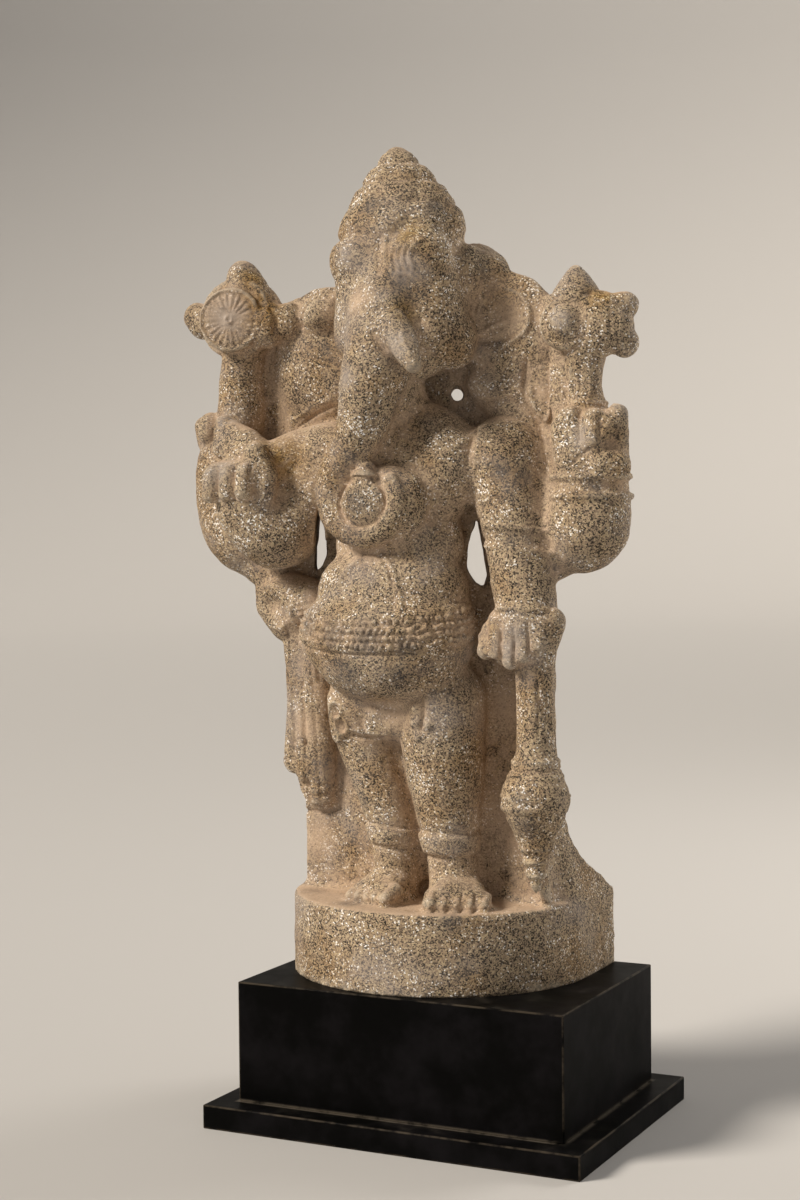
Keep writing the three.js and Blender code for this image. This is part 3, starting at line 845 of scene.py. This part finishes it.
# %% Fingers, toes and the club
# the fingers
for x in (-150, -133, -118):
    stroke([(x, -91, 432), (x, -94, 406)], 2.0, -2.6)
for x, low in ((95, 274), (107, 268), (119, 276)):
    stroke([(x, -58, 304), (x, -62, low)], 1.8, -2.0)
swell((102, -66, 268), (4, 6, 4), -1.2)
swell((89, -64, 277), (4, 6, 4), -1.2)
stroke([(150, -44, 428), (162, -44, 438), (176, -42, 444), (188, -31, 445)], 3, -1.6)
stroke([(156, -40, 466), (157, -42, 448)], 2.4, -1.6)
stroke([(173, -38, 466), (174, -40, 448)], 2.4, -1.6)

# the club
for x in (104, 113, 122):
    stroke([(x, -53, 256), (x, -54, 212)], 2.2, -1.2)
stroke([(122, -49, 239), (127, -45, 225), (132, -38, 203)], 2.6, -2.4)
CLUB_RINGS = ((189, 3, 1.4), (182.5, 2, -1.6), (177, 2.6, 1.1), (161, 2.2, 1.0), (146, 2.4, -0.8))
for z, width, height in CLUB_RINGS:
    band((CLUB_X, CLUB_Y, z), (0, 0, 1), 34, width, height, back=-22)
for turn in range(12):
    angle = radians(-70 + 12 * turn)
    swell((CLUB_X + 28 * sin(angle), CLUB_Y - 28 * cos(angle), 152), (3.6, 3.6, 5), 1.5)
for z, height in ((118, 1.5), (112, -1.5), (107, 1.3), (102, -1.4), (96, 1.0), (91, -1.0)):
    band((CLUB_X, CLUB_Y, z), (0, 0, 1), 24, 2.4, height, back=-24)

# the toes
for first, last, reach, radii in (LEFT_TOES, RIGHT_TOES):
    for gap in range(len(radii) - 1):
        start = Vector(first).lerp(Vector(last), (gap + 0.5) / (len(radii) - 1))
        stroke([start + Vector((0, 0, 4)), start + Vector(reach) + Vector((0, -4, -4))], 1.8, -1.8)
skin.settle()

# %% [markdown]
# Weather and handling have taken the crispness off every edge. Two octaves of noise push the surface in
# and out by about half a millimetre, and the back, which nobody was meant to see, keeps the waves of a
# point chisel.

# %% Erosion
# each octave's depth and size, and the waves of the chisel on the back
WEATHERING = ((0.55, 19), (0.4, 7))
WAVE_DEPTH = 1.1
WAVE_SIZE = (16, 16, 9)
BACK_FACING = 0.3
FOOT_HEIGHT = 2


def erode(skin):
    """Pushes every point in or out by the noise of weather, and on the back by the chisel's waves too."""
    pushes = np.empty(len(skin.points), np.float32)
    for index, (point, outward) in enumerate(zip(skin.points.tolist(), skin.outward.tolist())):
        spot = Vector(point)
        pushes[index] = sum(depth * noise.noise(spot / size) for depth, size in WEATHERING)
        if outward[1] > BACK_FACING and point[2] > FOOT_HEIGHT:
            waves = Vector([side / size for side, size in zip(spot, WAVE_SIZE)])
            pushes[index] += WAVE_DEPTH * noise.noise(waves)
    skin.move(np.arange(len(pushes)), pushes)


erode(skin)
skin.settle()
print("the stone's front is at y =", round(float(skin.points[:, 1].min()), 1), "mm")

# %% [markdown]
# The remesh has spread its faces evenly, over flats and fingers alike. Decimation takes them from where
# nothing happens and keeps the piece under 200,000. Then a plane cuts the underside flat where it meets
# the plinth.

# %% The finished stone
MOST_TRIANGLES = 190_000


def cut_level(mesh):
    """The mesh without what lies under the plinth's top, closed flat there and turned into triangles."""
    piece = bmesh.new()
    piece.from_mesh(mesh)
    everything = [*piece.verts, *piece.edges, *piece.faces]
    plane = {"plane_co": (0, 0, 0), "plane_no": (0, 0, -1)}
    cut = bmesh.ops.bisect_plane(piece, geom=everything, dist=CLOSE, clear_outer=True, **plane)
    rim = [item for item in cut["geom_cut"] if isinstance(item, bmesh.types.BMEdge)]
    bmesh.ops.holes_fill(piece, edges=rim, sides=0)
    bmesh.ops.triangulate(piece, faces=piece.faces)
    bmesh.ops.recalc_face_normals(piece, faces=piece.faces)
    piece.to_mesh(mesh)
    piece.free()


carving.calc_loop_triangles()
share = min(1.0, MOST_TRIANGLES / len(carving.loop_triangles))
stone_mesh = with_modifiers(carving, ("DECIMATE", {"ratio": share}))
cut_level(stone_mesh)
print("the stone has", len(stone_mesh.polygons), "triangles")

# %% [markdown]
# Age shows by place: dust and old offerings fill the hollows, hands and cloths have polished what stands
# out, and dark minerals run through the block in patches. A material can't see those places, so each is
# stored on the mesh as a number per point, and the material reads it. Shelter is measured with rays that
# leave the surface, and crests and creases from how far the neighbours lie below each point. Creases gather
# dust, and crests are painted paler, partly as wear and partly as a painted highlight.

# %% Points and their neighbours
def mesh_arrays(mesh):
    """The points, their outward directions and the pairs of points that share an edge."""
    points = np.empty((len(mesh.vertices), 3), np.float32)
    outward = np.empty_like(points)
    pairs = np.empty((len(mesh.edges), 2), np.int32)
    mesh.vertices.foreach_get("co", points.ravel())
    mesh.vertex_normals.foreach_get("vector", outward.ravel())
    mesh.edges.foreach_get("vertices", pairs.ravel())
    return points, outward, pairs


def evened(values, pairs, rounds):
    """The values after some rounds of sharing each one with its neighbours."""
    count = np.bincount(pairs.ravel(), minlength=len(values)) + 1
    for _ in range(rounds):
        total = values.copy()
        total += np.bincount(pairs[:, 0], values[pairs[:, 1]], len(values))
        total += np.bincount(pairs[:, 1], values[pairs[:, 0]], len(values))
        values = total / count
    return values


def keep(mesh, name, values):
    """Stores one number per point under a name, for the material to read."""
    mesh.attributes.new(name, "FLOAT", "POINT").data.foreach_set("value", values.astype(np.float32))


points, outward, pairs = mesh_arrays(stone_mesh)
print("the stone has", len(pairs), "pairs of neighbours")

# %% Shelter, crests and creases
RAYS = 14
RAY_REACH = 60.0
SHELTER_ROUNDS = 3
CREST_ROUNDS = 4
GOLDEN_TURN = pi * (3 - 5**0.5)
RAY_START = 0.4
SHELTER_GAIN = 2.2
CREST_GAIN = 6


def sheltered(mesh, points, outward):
    """How much of the space in front of each point is closed by nearby stone, from 0 to 1."""
    tree = BVHTree.FromPolygons([v.co for v in mesh.vertices], [p.vertices for p in mesh.polygons])
    heights = 1 - (np.arange(RAYS) + 0.5) / RAYS
    turns = GOLDEN_TURN * np.arange(RAYS)
    flat = np.sqrt(1 - heights**2)
    rays = np.stack((flat * np.cos(turns), flat * np.sin(turns), heights), 1)
    closed = np.zeros(len(points))
    for index, (point, normal) in enumerate(zip(points.tolist(), outward.tolist())):
        start = Vector(point) + RAY_START * Vector(normal)
        aim = Vector((0, 0, 1)).rotation_difference(Vector(normal)).to_matrix()
        for ray in rays:
            distance = tree.ray_cast(start, aim @ Vector(ray), RAY_REACH)[3]
            if distance is not None:
                closed[index] += 1 - distance / RAY_REACH
    return closed / RAYS


# the least that an edge's squared length counts, so that slivers don't show as crests and creases
SHORTEST = 0.01


def curvature(points, outward, pairs):
    """How far the neighbours lie below each point: above 0 on a crest, below 0 in a crease."""
    first, second = pairs.T
    step = points[second] - points[first]
    length = (step**2).sum(1) + SHORTEST
    bend = np.bincount(first, -(step * outward[first]).sum(1) / length, len(points))
    bend += np.bincount(second, (step * outward[second]).sum(1) / length, len(points))
    return bend / np.maximum(1, np.bincount(pairs.ravel(), minlength=len(points)))


hollow = evened(sheltered(stone_mesh, points, outward), pairs, SHELTER_ROUNDS)
crest_and_crease = evened(curvature(points, outward, pairs), pairs, CREST_ROUNDS)
keep(stone_mesh, "hollow", np.clip(SHELTER_GAIN * hollow, 0, 1))
keep(stone_mesh, "crest_and_crease", np.clip(0.5 + CREST_GAIN * crest_and_crease, 0, 1))
print("shelter reaches", round(float(hollow.max()), 2), "and wear", round(float(crest_and_crease.max()), 3))

# %% [markdown]
# The patches of polish, dark mineral, ochre stain and pale dust are placed as balls that touch the surface.
# Two of the pale ones, on the slab between the left leg and the club, are painted fill light that lightens a
# recess in shade. They have no hard border: each one fades towards its edge, and the material breaks it up
# further.

# %% Patches by place
POLISHED = [
    (24, -88, 588, 20), (-34, -80, 600, 14), (28, -104, 524, 26), (-18, -104, 500, 16),
    (-150, -90, 430, 22), (-166, -44, 470, 20), (-165, -50, 562, 30), (142, -46, 544, 16),
    (104, -62, 288, 22), (160, -44, 450, 18),
]
# mostly pale dust, but the spots at (80, -16, 230) and (76, -16, 140), on the slab between the left leg and
# the club, are painted fill light that lightens a recess in shade
DUST_AND_PAINTED_FILL = [
    (84, -24, 550, 32), (-165, -50, 566, 40), (-14, -92, 562, 20), (80, -16, 230, 50), (76, -16, 140, 50),
    (-108, -44, 452, 34), (0, -58, 226, 26), (116, -18, 490, 18), (-100, -26, 210, 26),
    (-104, -16, 110, 34), (84, -10, 120, 36), (-116, -26, 300, 24), (60, -54, 470, 20),
    (-8, -78, 660, 18),
]
MINERAL = [
    (26, -84, 574, 27), (-82, -25, 531, 12), (66, -26, 590, 14), (43, -112, 504, 10), (-17, -94, 400, 24),
    (114, -60, 136, 22), (-70, -78, 300, 20), (-40, -92, 292, 20), (-6, -96, 290, 22), (24, -90, 282, 18),
    (-30, -92, 262, 26), (16, -88, 258, 22), (92, -56, 424, 14), (110, -48, 420, 12), (100, -56, 370, 12),
    (168, -42, 410, 15), (116, -50, 368, 10), (-8, -98, 488, 7), (-60, -60, 604, 12), (40, -60, 640, 14),
    (-10, -72, 642, 16), (62, -22, 528, 12), (78, -24, 528, 10), (102, -14, 490, 10), (-76, -60, 340, 14),
    (30, -62, 470, 16), (-40, -60, 470, 16), (-108, -30, 150, 12), (-40, -70, 66, 18), (60, -84, 62, 16),
    (-96, -30, 60, 18), (112, -62, 160, 14), (-140, -82, 400, 12), (-20, -84, 352, 10),
    (-38, -50, 150, 12), (40, -50, 170, 14), (-150, -70, 360, 16),
]
STAINED = [
    (-134, -38, 572, 30), (-104, -64, 438, 34), (24, -82, 618, 24), (25, -90, 553, 18),
    (171, -30, 562, 24), (-150, -30, 596, 20), (-56, -60, 470, 24),
]


def patches(points, spots):
    """1 at the middle of each ball of (x, y, z, radius), fading to 0 at its surface."""
    strength = np.zeros(len(points))
    for x, y, z, radius in spots:
        away = np.linalg.norm(points - np.array((x, y, z), np.float32), axis=1)
        strength = np.maximum(strength, fall(away, radius, radius))
    return strength


for name, spots in (("polished", POLISHED), ("mineral", MINERAL), ("dust_and_painted_fill", DUST_AND_PAINTED_FILL), ("stained", STAINED)):
    keep(stone_mesh, name, patches(points, spots))
    print(name, "patches:", len(spots))

# %% [markdown]
# A mesh stays in metres and in its final place, with its object at the origin. The stone stands for the
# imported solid, which keeps its work in the physics but isn't shown.

# %% The stone takes its place
def shown(name, mesh, stands_for):
    """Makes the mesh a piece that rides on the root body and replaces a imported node."""
    piece = linked(name, mesh)
    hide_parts(stands_for)
    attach(piece, "root")
    return piece


UNDERSIDE = 0.01
stone_mesh.shade_smooth()
for face in stone_mesh.polygons:
    if face.center.z < UNDERSIDE:
        face.use_smooth = False
stone_mesh.transform(STONE_PLACE)
stone_mesh.update()
shown("granite_stele", stone_mesh, "stele")
print("the stone reaches", round(max(v.co.z for v in stone_mesh.vertices), 3), "m")

# %% [markdown]
# The plinth is two plain pieces of wood under black lacquer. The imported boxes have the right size, so each
# one is made again as a box with a small bevel. An inset keeps the bevel's points apart from the flats,
# and a number on them tells the material where the lacquer has rubbed through.

# %% The plinth
EDGE_ROUND = 0.0009
EDGE_WEAR = 0.0007


def lacquered_box(node, name):
    """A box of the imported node's size, with its edges rounded and marked for wear."""
    low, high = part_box(node)
    box = bmesh.new()
    place = Matrix.Translation((low + high) / 2) @ Matrix.Diagonal((*(high - low), 1))
    bmesh.ops.create_cube(box, size=1, matrix=place)
    rounding = {"affect": "EDGES", "segments": 2, "profile": 0.5, "material": -1, "clamp_overlap": True}
    bmesh.ops.bevel(box, geom=box.edges[:], offset=EDGE_ROUND, **rounding)
    # the six widest faces are the box's flats, and the others belong to the bevel
    flats = sorted(box.faces, key=lambda face: -face.calc_area())[:6]
    inner = bmesh.ops.inset_individual(box, faces=flats, thickness=EDGE_WEAR, use_even_offset=True)["faces"]
    edge = box.verts.layers.float.new("edge")
    for vert in box.verts:
        vert[edge] = 1.0
    for face in flats:
        for vert in face.verts:
            vert[edge] = 0.0
    print(name, "has", len(box.faces), "faces, and its flats have", len(inner), "rims")
    mesh = as_mesh(name, box)
    mesh.shade_smooth()
    return shown(name, mesh, node)


plinth_box = lacquered_box("plinth_box", "lacquered_plinth_box")
plinth_board = lacquered_box("plinth_board", "lacquered_plinth_board")

# %% [markdown]
# Every material is made of nodes. One function adds a node with its settings and its links, and another
# turns a colour as it is written for the screen into the linear light that a shader counts in.

# %% Node helpers
def colour(code):
    """A colour written as #RRGGBB for the screen, turned linear."""
    parts = [int(code[place : place + 2], 16) / 255 for place in (1, 3, 5)]
    return (*[part / 12.92 if part <= 0.04045 else ((part + 0.055) / 1.055) ** 2.4 for part in parts], 1.0)


def feed(node, inputs):
    """Gives each named input a value, or a link where the value is another node's output."""
    for name, value in inputs.items():
        if isinstance(value, bpy.types.NodeSocket):
            node.id_data.links.new(value, node.inputs[name])
        else:
            node.inputs[name].default_value = value


def add(tree, kind, inputs, output=0, stops=(), **settings):
    """Adds a node with its settings, its links and the stops of its ramp, and gives back one output.

    The kind is the name of the node's class without the word ShaderNode in front.
    """
    new = tree.nodes.new("ShaderNode" + kind)
    for name, value in settings.items():
        setattr(new, name, value)
    feed(new, inputs)
    for place, code in stops:
        ramp = new.color_ramp
        element = ramp.elements.new(place) if place else ramp.elements[0]
        element.color = colour(code)
    if stops:
        ramp.elements.remove(ramp.elements[-1])
    return new.outputs[output]


def material(name):
    """A new material with its node tree and its main shader."""
    made = bpy.data.materials.new(name)
    made.use_nodes = True
    return made, made.node_tree, made.node_tree.nodes["Principled BSDF"]


print("a screen's middle grey is", round(colour("#808080")[0], 3), "in linear light")

# %% [markdown]
# Both finishes are uneven in the same ways: an amount grows softly from one limit to another, noise breaks
# it up, and one colour lies over another by that amount. The first two helpers only write down what a node
# takes, and the others join several nodes to one such effect.

# %% Uneven finishes
SOFT_STEP = {"interpolation_type": "SMOOTHSTEP"}
# a Mix node's sockets for colours: it has one set of them for each type of data
AMOUNT, UNDER, OVER, MIXED = 0, 6, 7, 2


def limits(source, low, high, top=1.0):
    """The inputs of a step from 0 at low to top at high."""
    return {"Value": source, "From Min": low, "From Max": high, "To Max": top}


def grain(place, size, detail=3.0):
    """The inputs of a noise whose features are that many millimetres apart."""
    return {"Vector": place, "Scale": 1000 / size, "Detail": detail, "Roughness": 0.6}


def patchy(place, size, low, high, top=1.0, detail=3.0):
    """Soft patches that many millimetres apart, from 0 where the noise is at low to top at high."""
    cloud = add(place.id_data, "TexNoise", grain(place, size, detail))
    return add(place.id_data, "MapRange", limits(cloud, low, high, top), **SOFT_STEP)


def broken(amount, place, *cloud):
    """An amount broken up by soft patches, given as for patchy."""
    inputs = {0: amount, 1: patchy(place, *cloud)}
    return add(place.id_data, "Math", inputs, operation="MULTIPLY")


def layered(tree, ground, layers):
    """A ground colour under layers of (amount, colour, blend)."""
    for amount, code, blend in layers:
        inputs = {AMOUNT: amount, UNDER: ground, OVER: colour(code)}
        ground = add(tree, "Mix", inputs, MIXED, data_type="RGBA", blend_type=blend)
    return ground


print("a noise of 5 mm repeats", round(grain(None, 5)["Scale"]), "times in a metre")

# %% [markdown]
# Granite is a crowd of crystals: pale feldspar, glassy quartz, and black mica between them. Here most are
# about a millimetre across, and the mica gathers in flecks of two to three. Pecked and weathered, it
# scatters light and looks speckled and dry. A Voronoi pattern gives each crystal one shade from a ramp,
# and a soft cloud makes some patches richer in dark crystals and some in pale ones.

# %% The crystals of the granite
CRYSTAL = 1.1
FLECK = 2.4
CRYSTAL_SHADES = [
    (0.0, "#2E2A26"), (0.15, "#4C443B"), (0.28, "#7C6E60"), (0.5, "#A08D78"),
    (0.78, "#B7A488"), (0.95, "#C5B496"), (1.0, "#CBBB9F"),
]
granite, tree, shader = material("pecked_weathered_granite")
place = add(tree, "TexCoord", {}, "Object")
cells = add(tree, "TexVoronoi", {"Vector": place, "Scale": 1000 / CRYSTAL}, "Color")
crystal = add(tree, "SeparateColor", {"Color": cells}).node.outputs
drift = add(tree, "TexNoise", grain(place, 26))
drift = add(tree, "Math", {0: drift, 1: 0.5}, operation="SUBTRACT")
tone = add(tree, "Math", {0: drift, 1: 0.6, 2: crystal["Red"]}, operation="MULTIPLY_ADD")
speckle = add(tree, "ValToRGB", {"Fac": tone}, stops=CRYSTAL_SHADES)
fleck = add(tree, "TexVoronoi", {"Vector": place, "Scale": 1000 / FLECK}, "Distance")
fleck = add(tree, "MapRange", limits(fleck, 0.36, 0.22), **SOFT_STEP)
mica = broken(fleck, place, 14, 0.42, 0.6, 0.7)
print("the crystals and the mica take", len(tree.nodes), "nodes")

# %% [markdown]
# Dust and old offerings have settled where the mesh says that the stone is sheltered, in creases, on what
# faces up and in the dust patches. Two of those patches, on the slab between the left leg and the club, are
# painted fill light instead: they lighten a recess that lies in shade. There the speckle fades into a pale
# pinkish beige, more on some crystals than on others.

# %% Dust and painted fill light on the granite
STORED = ("hollow", "crest_and_crease", "polished", "mineral", "dust_and_painted_fill", "stained")
stored = {name: add(tree, "Attribute", {}, "Fac", attribute_name=name) for name in STORED}
lie = add(tree, "NewGeometry", {}, "Normal")
lying = add(tree, "SeparateXYZ", {"Vector": lie}, "Z")
settled = []
for source, low, high, top, *cloud in (
    (stored["hollow"], 0.12, 0.8, 0.6, 9, 0.3, 0.6),
    (stored["crest_and_crease"], 0.42, 0.1, 0.65, 6, 0.28, 0.5),
    (lying, 0.7, 1.0, 0.85, 12, 0.2, 0.42),
):
    amount = add(tree, "MapRange", limits(source, low, high, top), **SOFT_STEP)
    settled.append(broken(amount, place, *cloud))
# the dust patches; two of them are painted fill light over shade
settled.append(broken(stored["dust_and_painted_fill"], place, 7, 0.1, 0.45, 0.85))
dust = settled[0]
for more in settled[1:]:
    dust = add(tree, "Math", {0: dust, 1: more}, operation="MAXIMUM")
held = add(tree, "MapRange", limits(crystal["Green"], -0.35, 0.35), **SOFT_STEP)
dust = add(tree, "Math", {0: dust, 1: held}, operation="MULTIPLY")
print("with its dust the granite has", len(tree.nodes), "nodes")

# %% [markdown]
# The colours lie over each other: the crystals and the mica first, then broad warm and cool patches, the
# dust, dark mineral and ochre stains. Two of the dust patches are painted fill light over shade. Crests are
# painted paler, partly as wear and partly as a painted highlight where ridges catch the light, and what
# hands have rubbed is greyer and faintly glossy. Two bumps, from the pecking and from the crystals, keep the
# rest matt.

# %% Pecked and weathered granite
mineral = broken(stored["mineral"], place, 5, 0.26, 0.52)
mineral = add(tree, "Math", {0: mineral, 1: 0.6}, operation="MULTIPLY")
# crests are painted paler below: partly worn stone, partly a painted highlight where ridges catch the light
crest = add(tree, "MapRange", limits(stored["crest_and_crease"], 0.62, 0.95, 0.4), **SOFT_STEP)
rub = broken(stored["polished"], place, 8, 0.25, 0.55)
rub_tint = add(tree, "Math", {0: rub, 1: 0.65}, operation="MULTIPLY")
layers = (
    (mica, "#2F2C29", "MIX"),
    (patchy(place, 55, 0.42, 0.68, 0.5), "#CDB07C", "MULTIPLY"),
    (patchy(place, 70, 0.48, 0.7, 0.4), "#9E9694", "MIX"),
    # pale dust, and in two patches painted fill light over shade
    (dust, "#C8B099", "MIX"),
    (mineral, "#4B494B", "MIX"),
    (broken(stored["stained"], place, 11, 0.3, 0.55, 0.8), "#D9C178", "MULTIPLY"),
    # paler crests: partly wear, partly a painted highlight
    (crest, "#CFC3B1", "MIX"),
    (rub_tint, "#A69D97", "MIX"),
)
rough = add(tree, "MapRange", limits(crystal["Green"], 0.0, 1.0, 0.22), **SOFT_STEP)
rough = add(tree, "Math", {0: rough, 1: 0.74}, operation="ADD")
rough = add(tree, "Math", {0: rub, 1: -0.36, 2: rough}, operation="MULTIPLY_ADD")
pecks = add(tree, "TexNoise", grain(place, 4.5, 4.0))
pecks = {"Height": pecks, "Strength": 0.55, "Distance": 0.0011}
pits = {"Height": crystal["Blue"], "Strength": 0.3, "Distance": 0.0003}
relief = add(tree, "Bump", {**pits, "Normal": add(tree, "Bump", pecks)})
surface = {"Base Color": layered(tree, speckle, layers), "Roughness": rough, "Normal": relief}
feed(shader, {**surface, "IOR": 1.5, "Specular IOR Level": 0.35})
stone_mesh.materials.append(granite)
print(granite.name, "has", len(tree.nodes), "nodes")

# %% [markdown]
# Lacquer is brushed on in thin coats and rubbed down, so it is black, smooth and half glossy, with a faint
# cloudiness where it has been wiped. Along the edges it has rubbed through to the wood as a hair-thin pale
# line, and dust lies in the joint between box and board and on what faces up.

# %% Where dust lies on the plinth
JOINT_DUST_HEIGHT = 0.003
JOINT_DUST_REACH = 0.004
lacquer, tree, shader = material("rubbed_black_lacquer")
place = add(tree, "TexCoord", {}, "Object")
spot = add(tree, "SeparateXYZ", {"Vector": place}).node.outputs
board_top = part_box("plinth_board")[1].z
box_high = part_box("plinth_box")[1]
above_board = add(tree, "Math", {0: spot["Z"], 1: board_top}, operation="SUBTRACT")
above_board = add(tree, "Math", {0: above_board}, operation="ABSOLUTE")
past_box = {}
for side, (axis, reach) in enumerate((("X", box_high.x), ("Y", box_high.y))):
    aside = add(tree, "Math", {0: spot[axis]}, operation="ABSOLUTE")
    past_box[side] = add(tree, "Math", {0: aside, 1: reach}, operation="SUBTRACT")
past_box = add(tree, "Math", past_box, operation="MAXIMUM")
facing = add(tree, "NewGeometry", {}, "Normal")
upward = add(tree, "SeparateXYZ", {"Vector": facing}, "Z")
steps = (above_board, JOINT_DUST_HEIGHT, 0.0), (past_box, JOINT_DUST_REACH, 0.0003), (upward, 0.8, 1.0)
low_down, close_by, upward = [add(tree, "MapRange", limits(*step), **SOFT_STEP) for step in steps]
joint = add(tree, "Math", {0: low_down, 1: close_by}, operation="MULTIPLY")
print("dust stands up to", 1000 * JOINT_DUST_HEIGHT, "mm high in the joint")

# %% Rubbed black lacquer on wood
edge = add(tree, "Attribute", {}, "Fac", attribute_name="edge")
layers = (
    (patchy(place, 45, 0.4, 0.7, 1.0, 4.0), "#131214", "MIX"),
    (broken(joint, place, 14, 0.3, 0.55, 0.4), "#8A8175", "MIX"),
    (broken(upward, place, 30, 0.5, 0.8, 0.08, 5.0), "#8F887E", "MIX"),
    (broken(edge, place, 16, 0.36, 0.6, 0.3, 4.0), "#6F6558", "MIX"),
)
gloss = {0: add(tree, "TexNoise", grain(place, 25, 5.0)), 1: 0.2, 2: 0.34}
wipes = add(tree, "TexNoise", grain(place, 6, 5.0))
wipes = {"Height": wipes, "Strength": 0.12, "Distance": 0.0005}
surface = {
    "Base Color": layered(tree, colour("#070707"), layers),
    "Roughness": add(tree, "Math", gloss, operation="MULTIPLY_ADD"),
    "Normal": add(tree, "Bump", wipes),
}
feed(shader, {**surface, "IOR": 1.52, "Specular IOR Level": 0.03})
for piece in (plinth_box, plinth_board):
    piece.data.materials.append(lacquer)
print(lacquer.name, "has", len(tree.nodes), "nodes")

# %% [markdown]
# The object stands on a plain pale floor that curves up far away all round, as a studio's paper sweep
# does, so that no horizon crosses the picture. The light is soft: a large lamp from the upper left, as in
# a gallery, a weak one behind, and a pale sky that fills the shadows.

# %% Floor and light
SWEEP_START = 9.0
SWEEP_RADIUS = 4.0
SWEEP_TOP = 8.0
SWEEP_BENDS = 12
FLOOR_STEPS = 96
MIDDLE = (0, 0, 0.45)


def floor():
    """A level round floor whose far rim curves up."""
    bend = [radians(90 * step / SWEEP_BENDS) for step in range(SWEEP_BENDS + 1)]
    line = [(SWEEP_START + SWEEP_RADIUS * sin(turn), SWEEP_RADIUS * (1 - cos(turn))) for turn in bend]
    sheet = bmesh.new()
    line = [(0.0, 0.0), *line, (SWEEP_START + SWEEP_RADIUS, SWEEP_TOP)]
    verts = [sheet.verts.new((0, y, z)) for y, z in line]
    spin(sheet, verts + [sheet.edges.new(pair) for pair in zip(verts, verts[1:])], FLOOR_STEPS)
    bmesh.ops.remove_doubles(sheet, verts=sheet.verts, dist=0.0001)
    mesh = as_mesh("floor", sheet)
    mesh.shade_smooth()
    paint, _, finish = material("matt_pale_floor")
    feed(finish, {"Base Color": colour("#C4C4C5"), "Roughness": 0.9})
    mesh.materials.append(paint)
    piece = linked("floor", mesh)
    piece.visible_shadow = False


def lamp(name, kind, place, power, tint, **settings):
    """A lamp that looks at the object's middle."""
    light = bpy.data.lights.new(name, kind)
    light.energy = power
    light.color = colour(tint)[:3]
    for setting, value in settings.items():
        setattr(light, setting, value)
    holder = linked(name, light)
    holder.location = place
    holder.rotation_euler = (Vector(MIDDLE) - Vector(place)).to_track_quat("-Z", "Y").to_euler()


floor()
lamp("key", "SUN", (-1.3, -1.4, 1.9), 3.9, "#FFF3E2", angle=radians(18))
lamp("behind", "AREA", (1.2, 1.7, 1.6), 20, "#FFF6EA", size=1.0)
sky = bpy.data.worlds.new("sky")
sky.use_nodes = True
feed(sky.node_tree.nodes["Background"], {"Color": colour("#D9D7D3"), "Strength": 0.2})
bpy.context.scene.world = sky
bpy.context.scene.view_settings.view_transform = "Standard"
print("the floor is level for", SWEEP_START, "m all round")

# %% [markdown]
# The camera stands a little to the right of the front and just above the middle, as far away as the
# tapering of the plinth's sides says. Its place and angles were worked out from the plinth's corners and
# the axis.

# %% Camera
CAMERA_PLACE = (0.7273, -1.5530, 0.4965)
CAMERA_SWING = 26.36
CAMERA_DIP = 1.91
CAMERA_ROLL = -0.51
SENSOR_WIDTH = 36.0
FOCAL_LENGTH = 60.74
camera = linked("camera", bpy.data.cameras.new("camera"))
camera.data.sensor_width = SENSOR_WIDTH
camera.data.lens = FOCAL_LENGTH
turn = Matrix.Rotation(radians(CAMERA_SWING), 4, "Z") @ Matrix.Rotation(radians(90 - CAMERA_DIP), 4, "X")
turn @= Matrix.Rotation(radians(CAMERA_ROLL), 4, "Z")
camera.matrix_world = Matrix.Translation(CAMERA_PLACE) @ turn
bpy.context.scene.camera = camera
print("the camera is", round((Vector(CAMERA_PLACE) - Vector(MIDDLE)).length, 2), "m away")
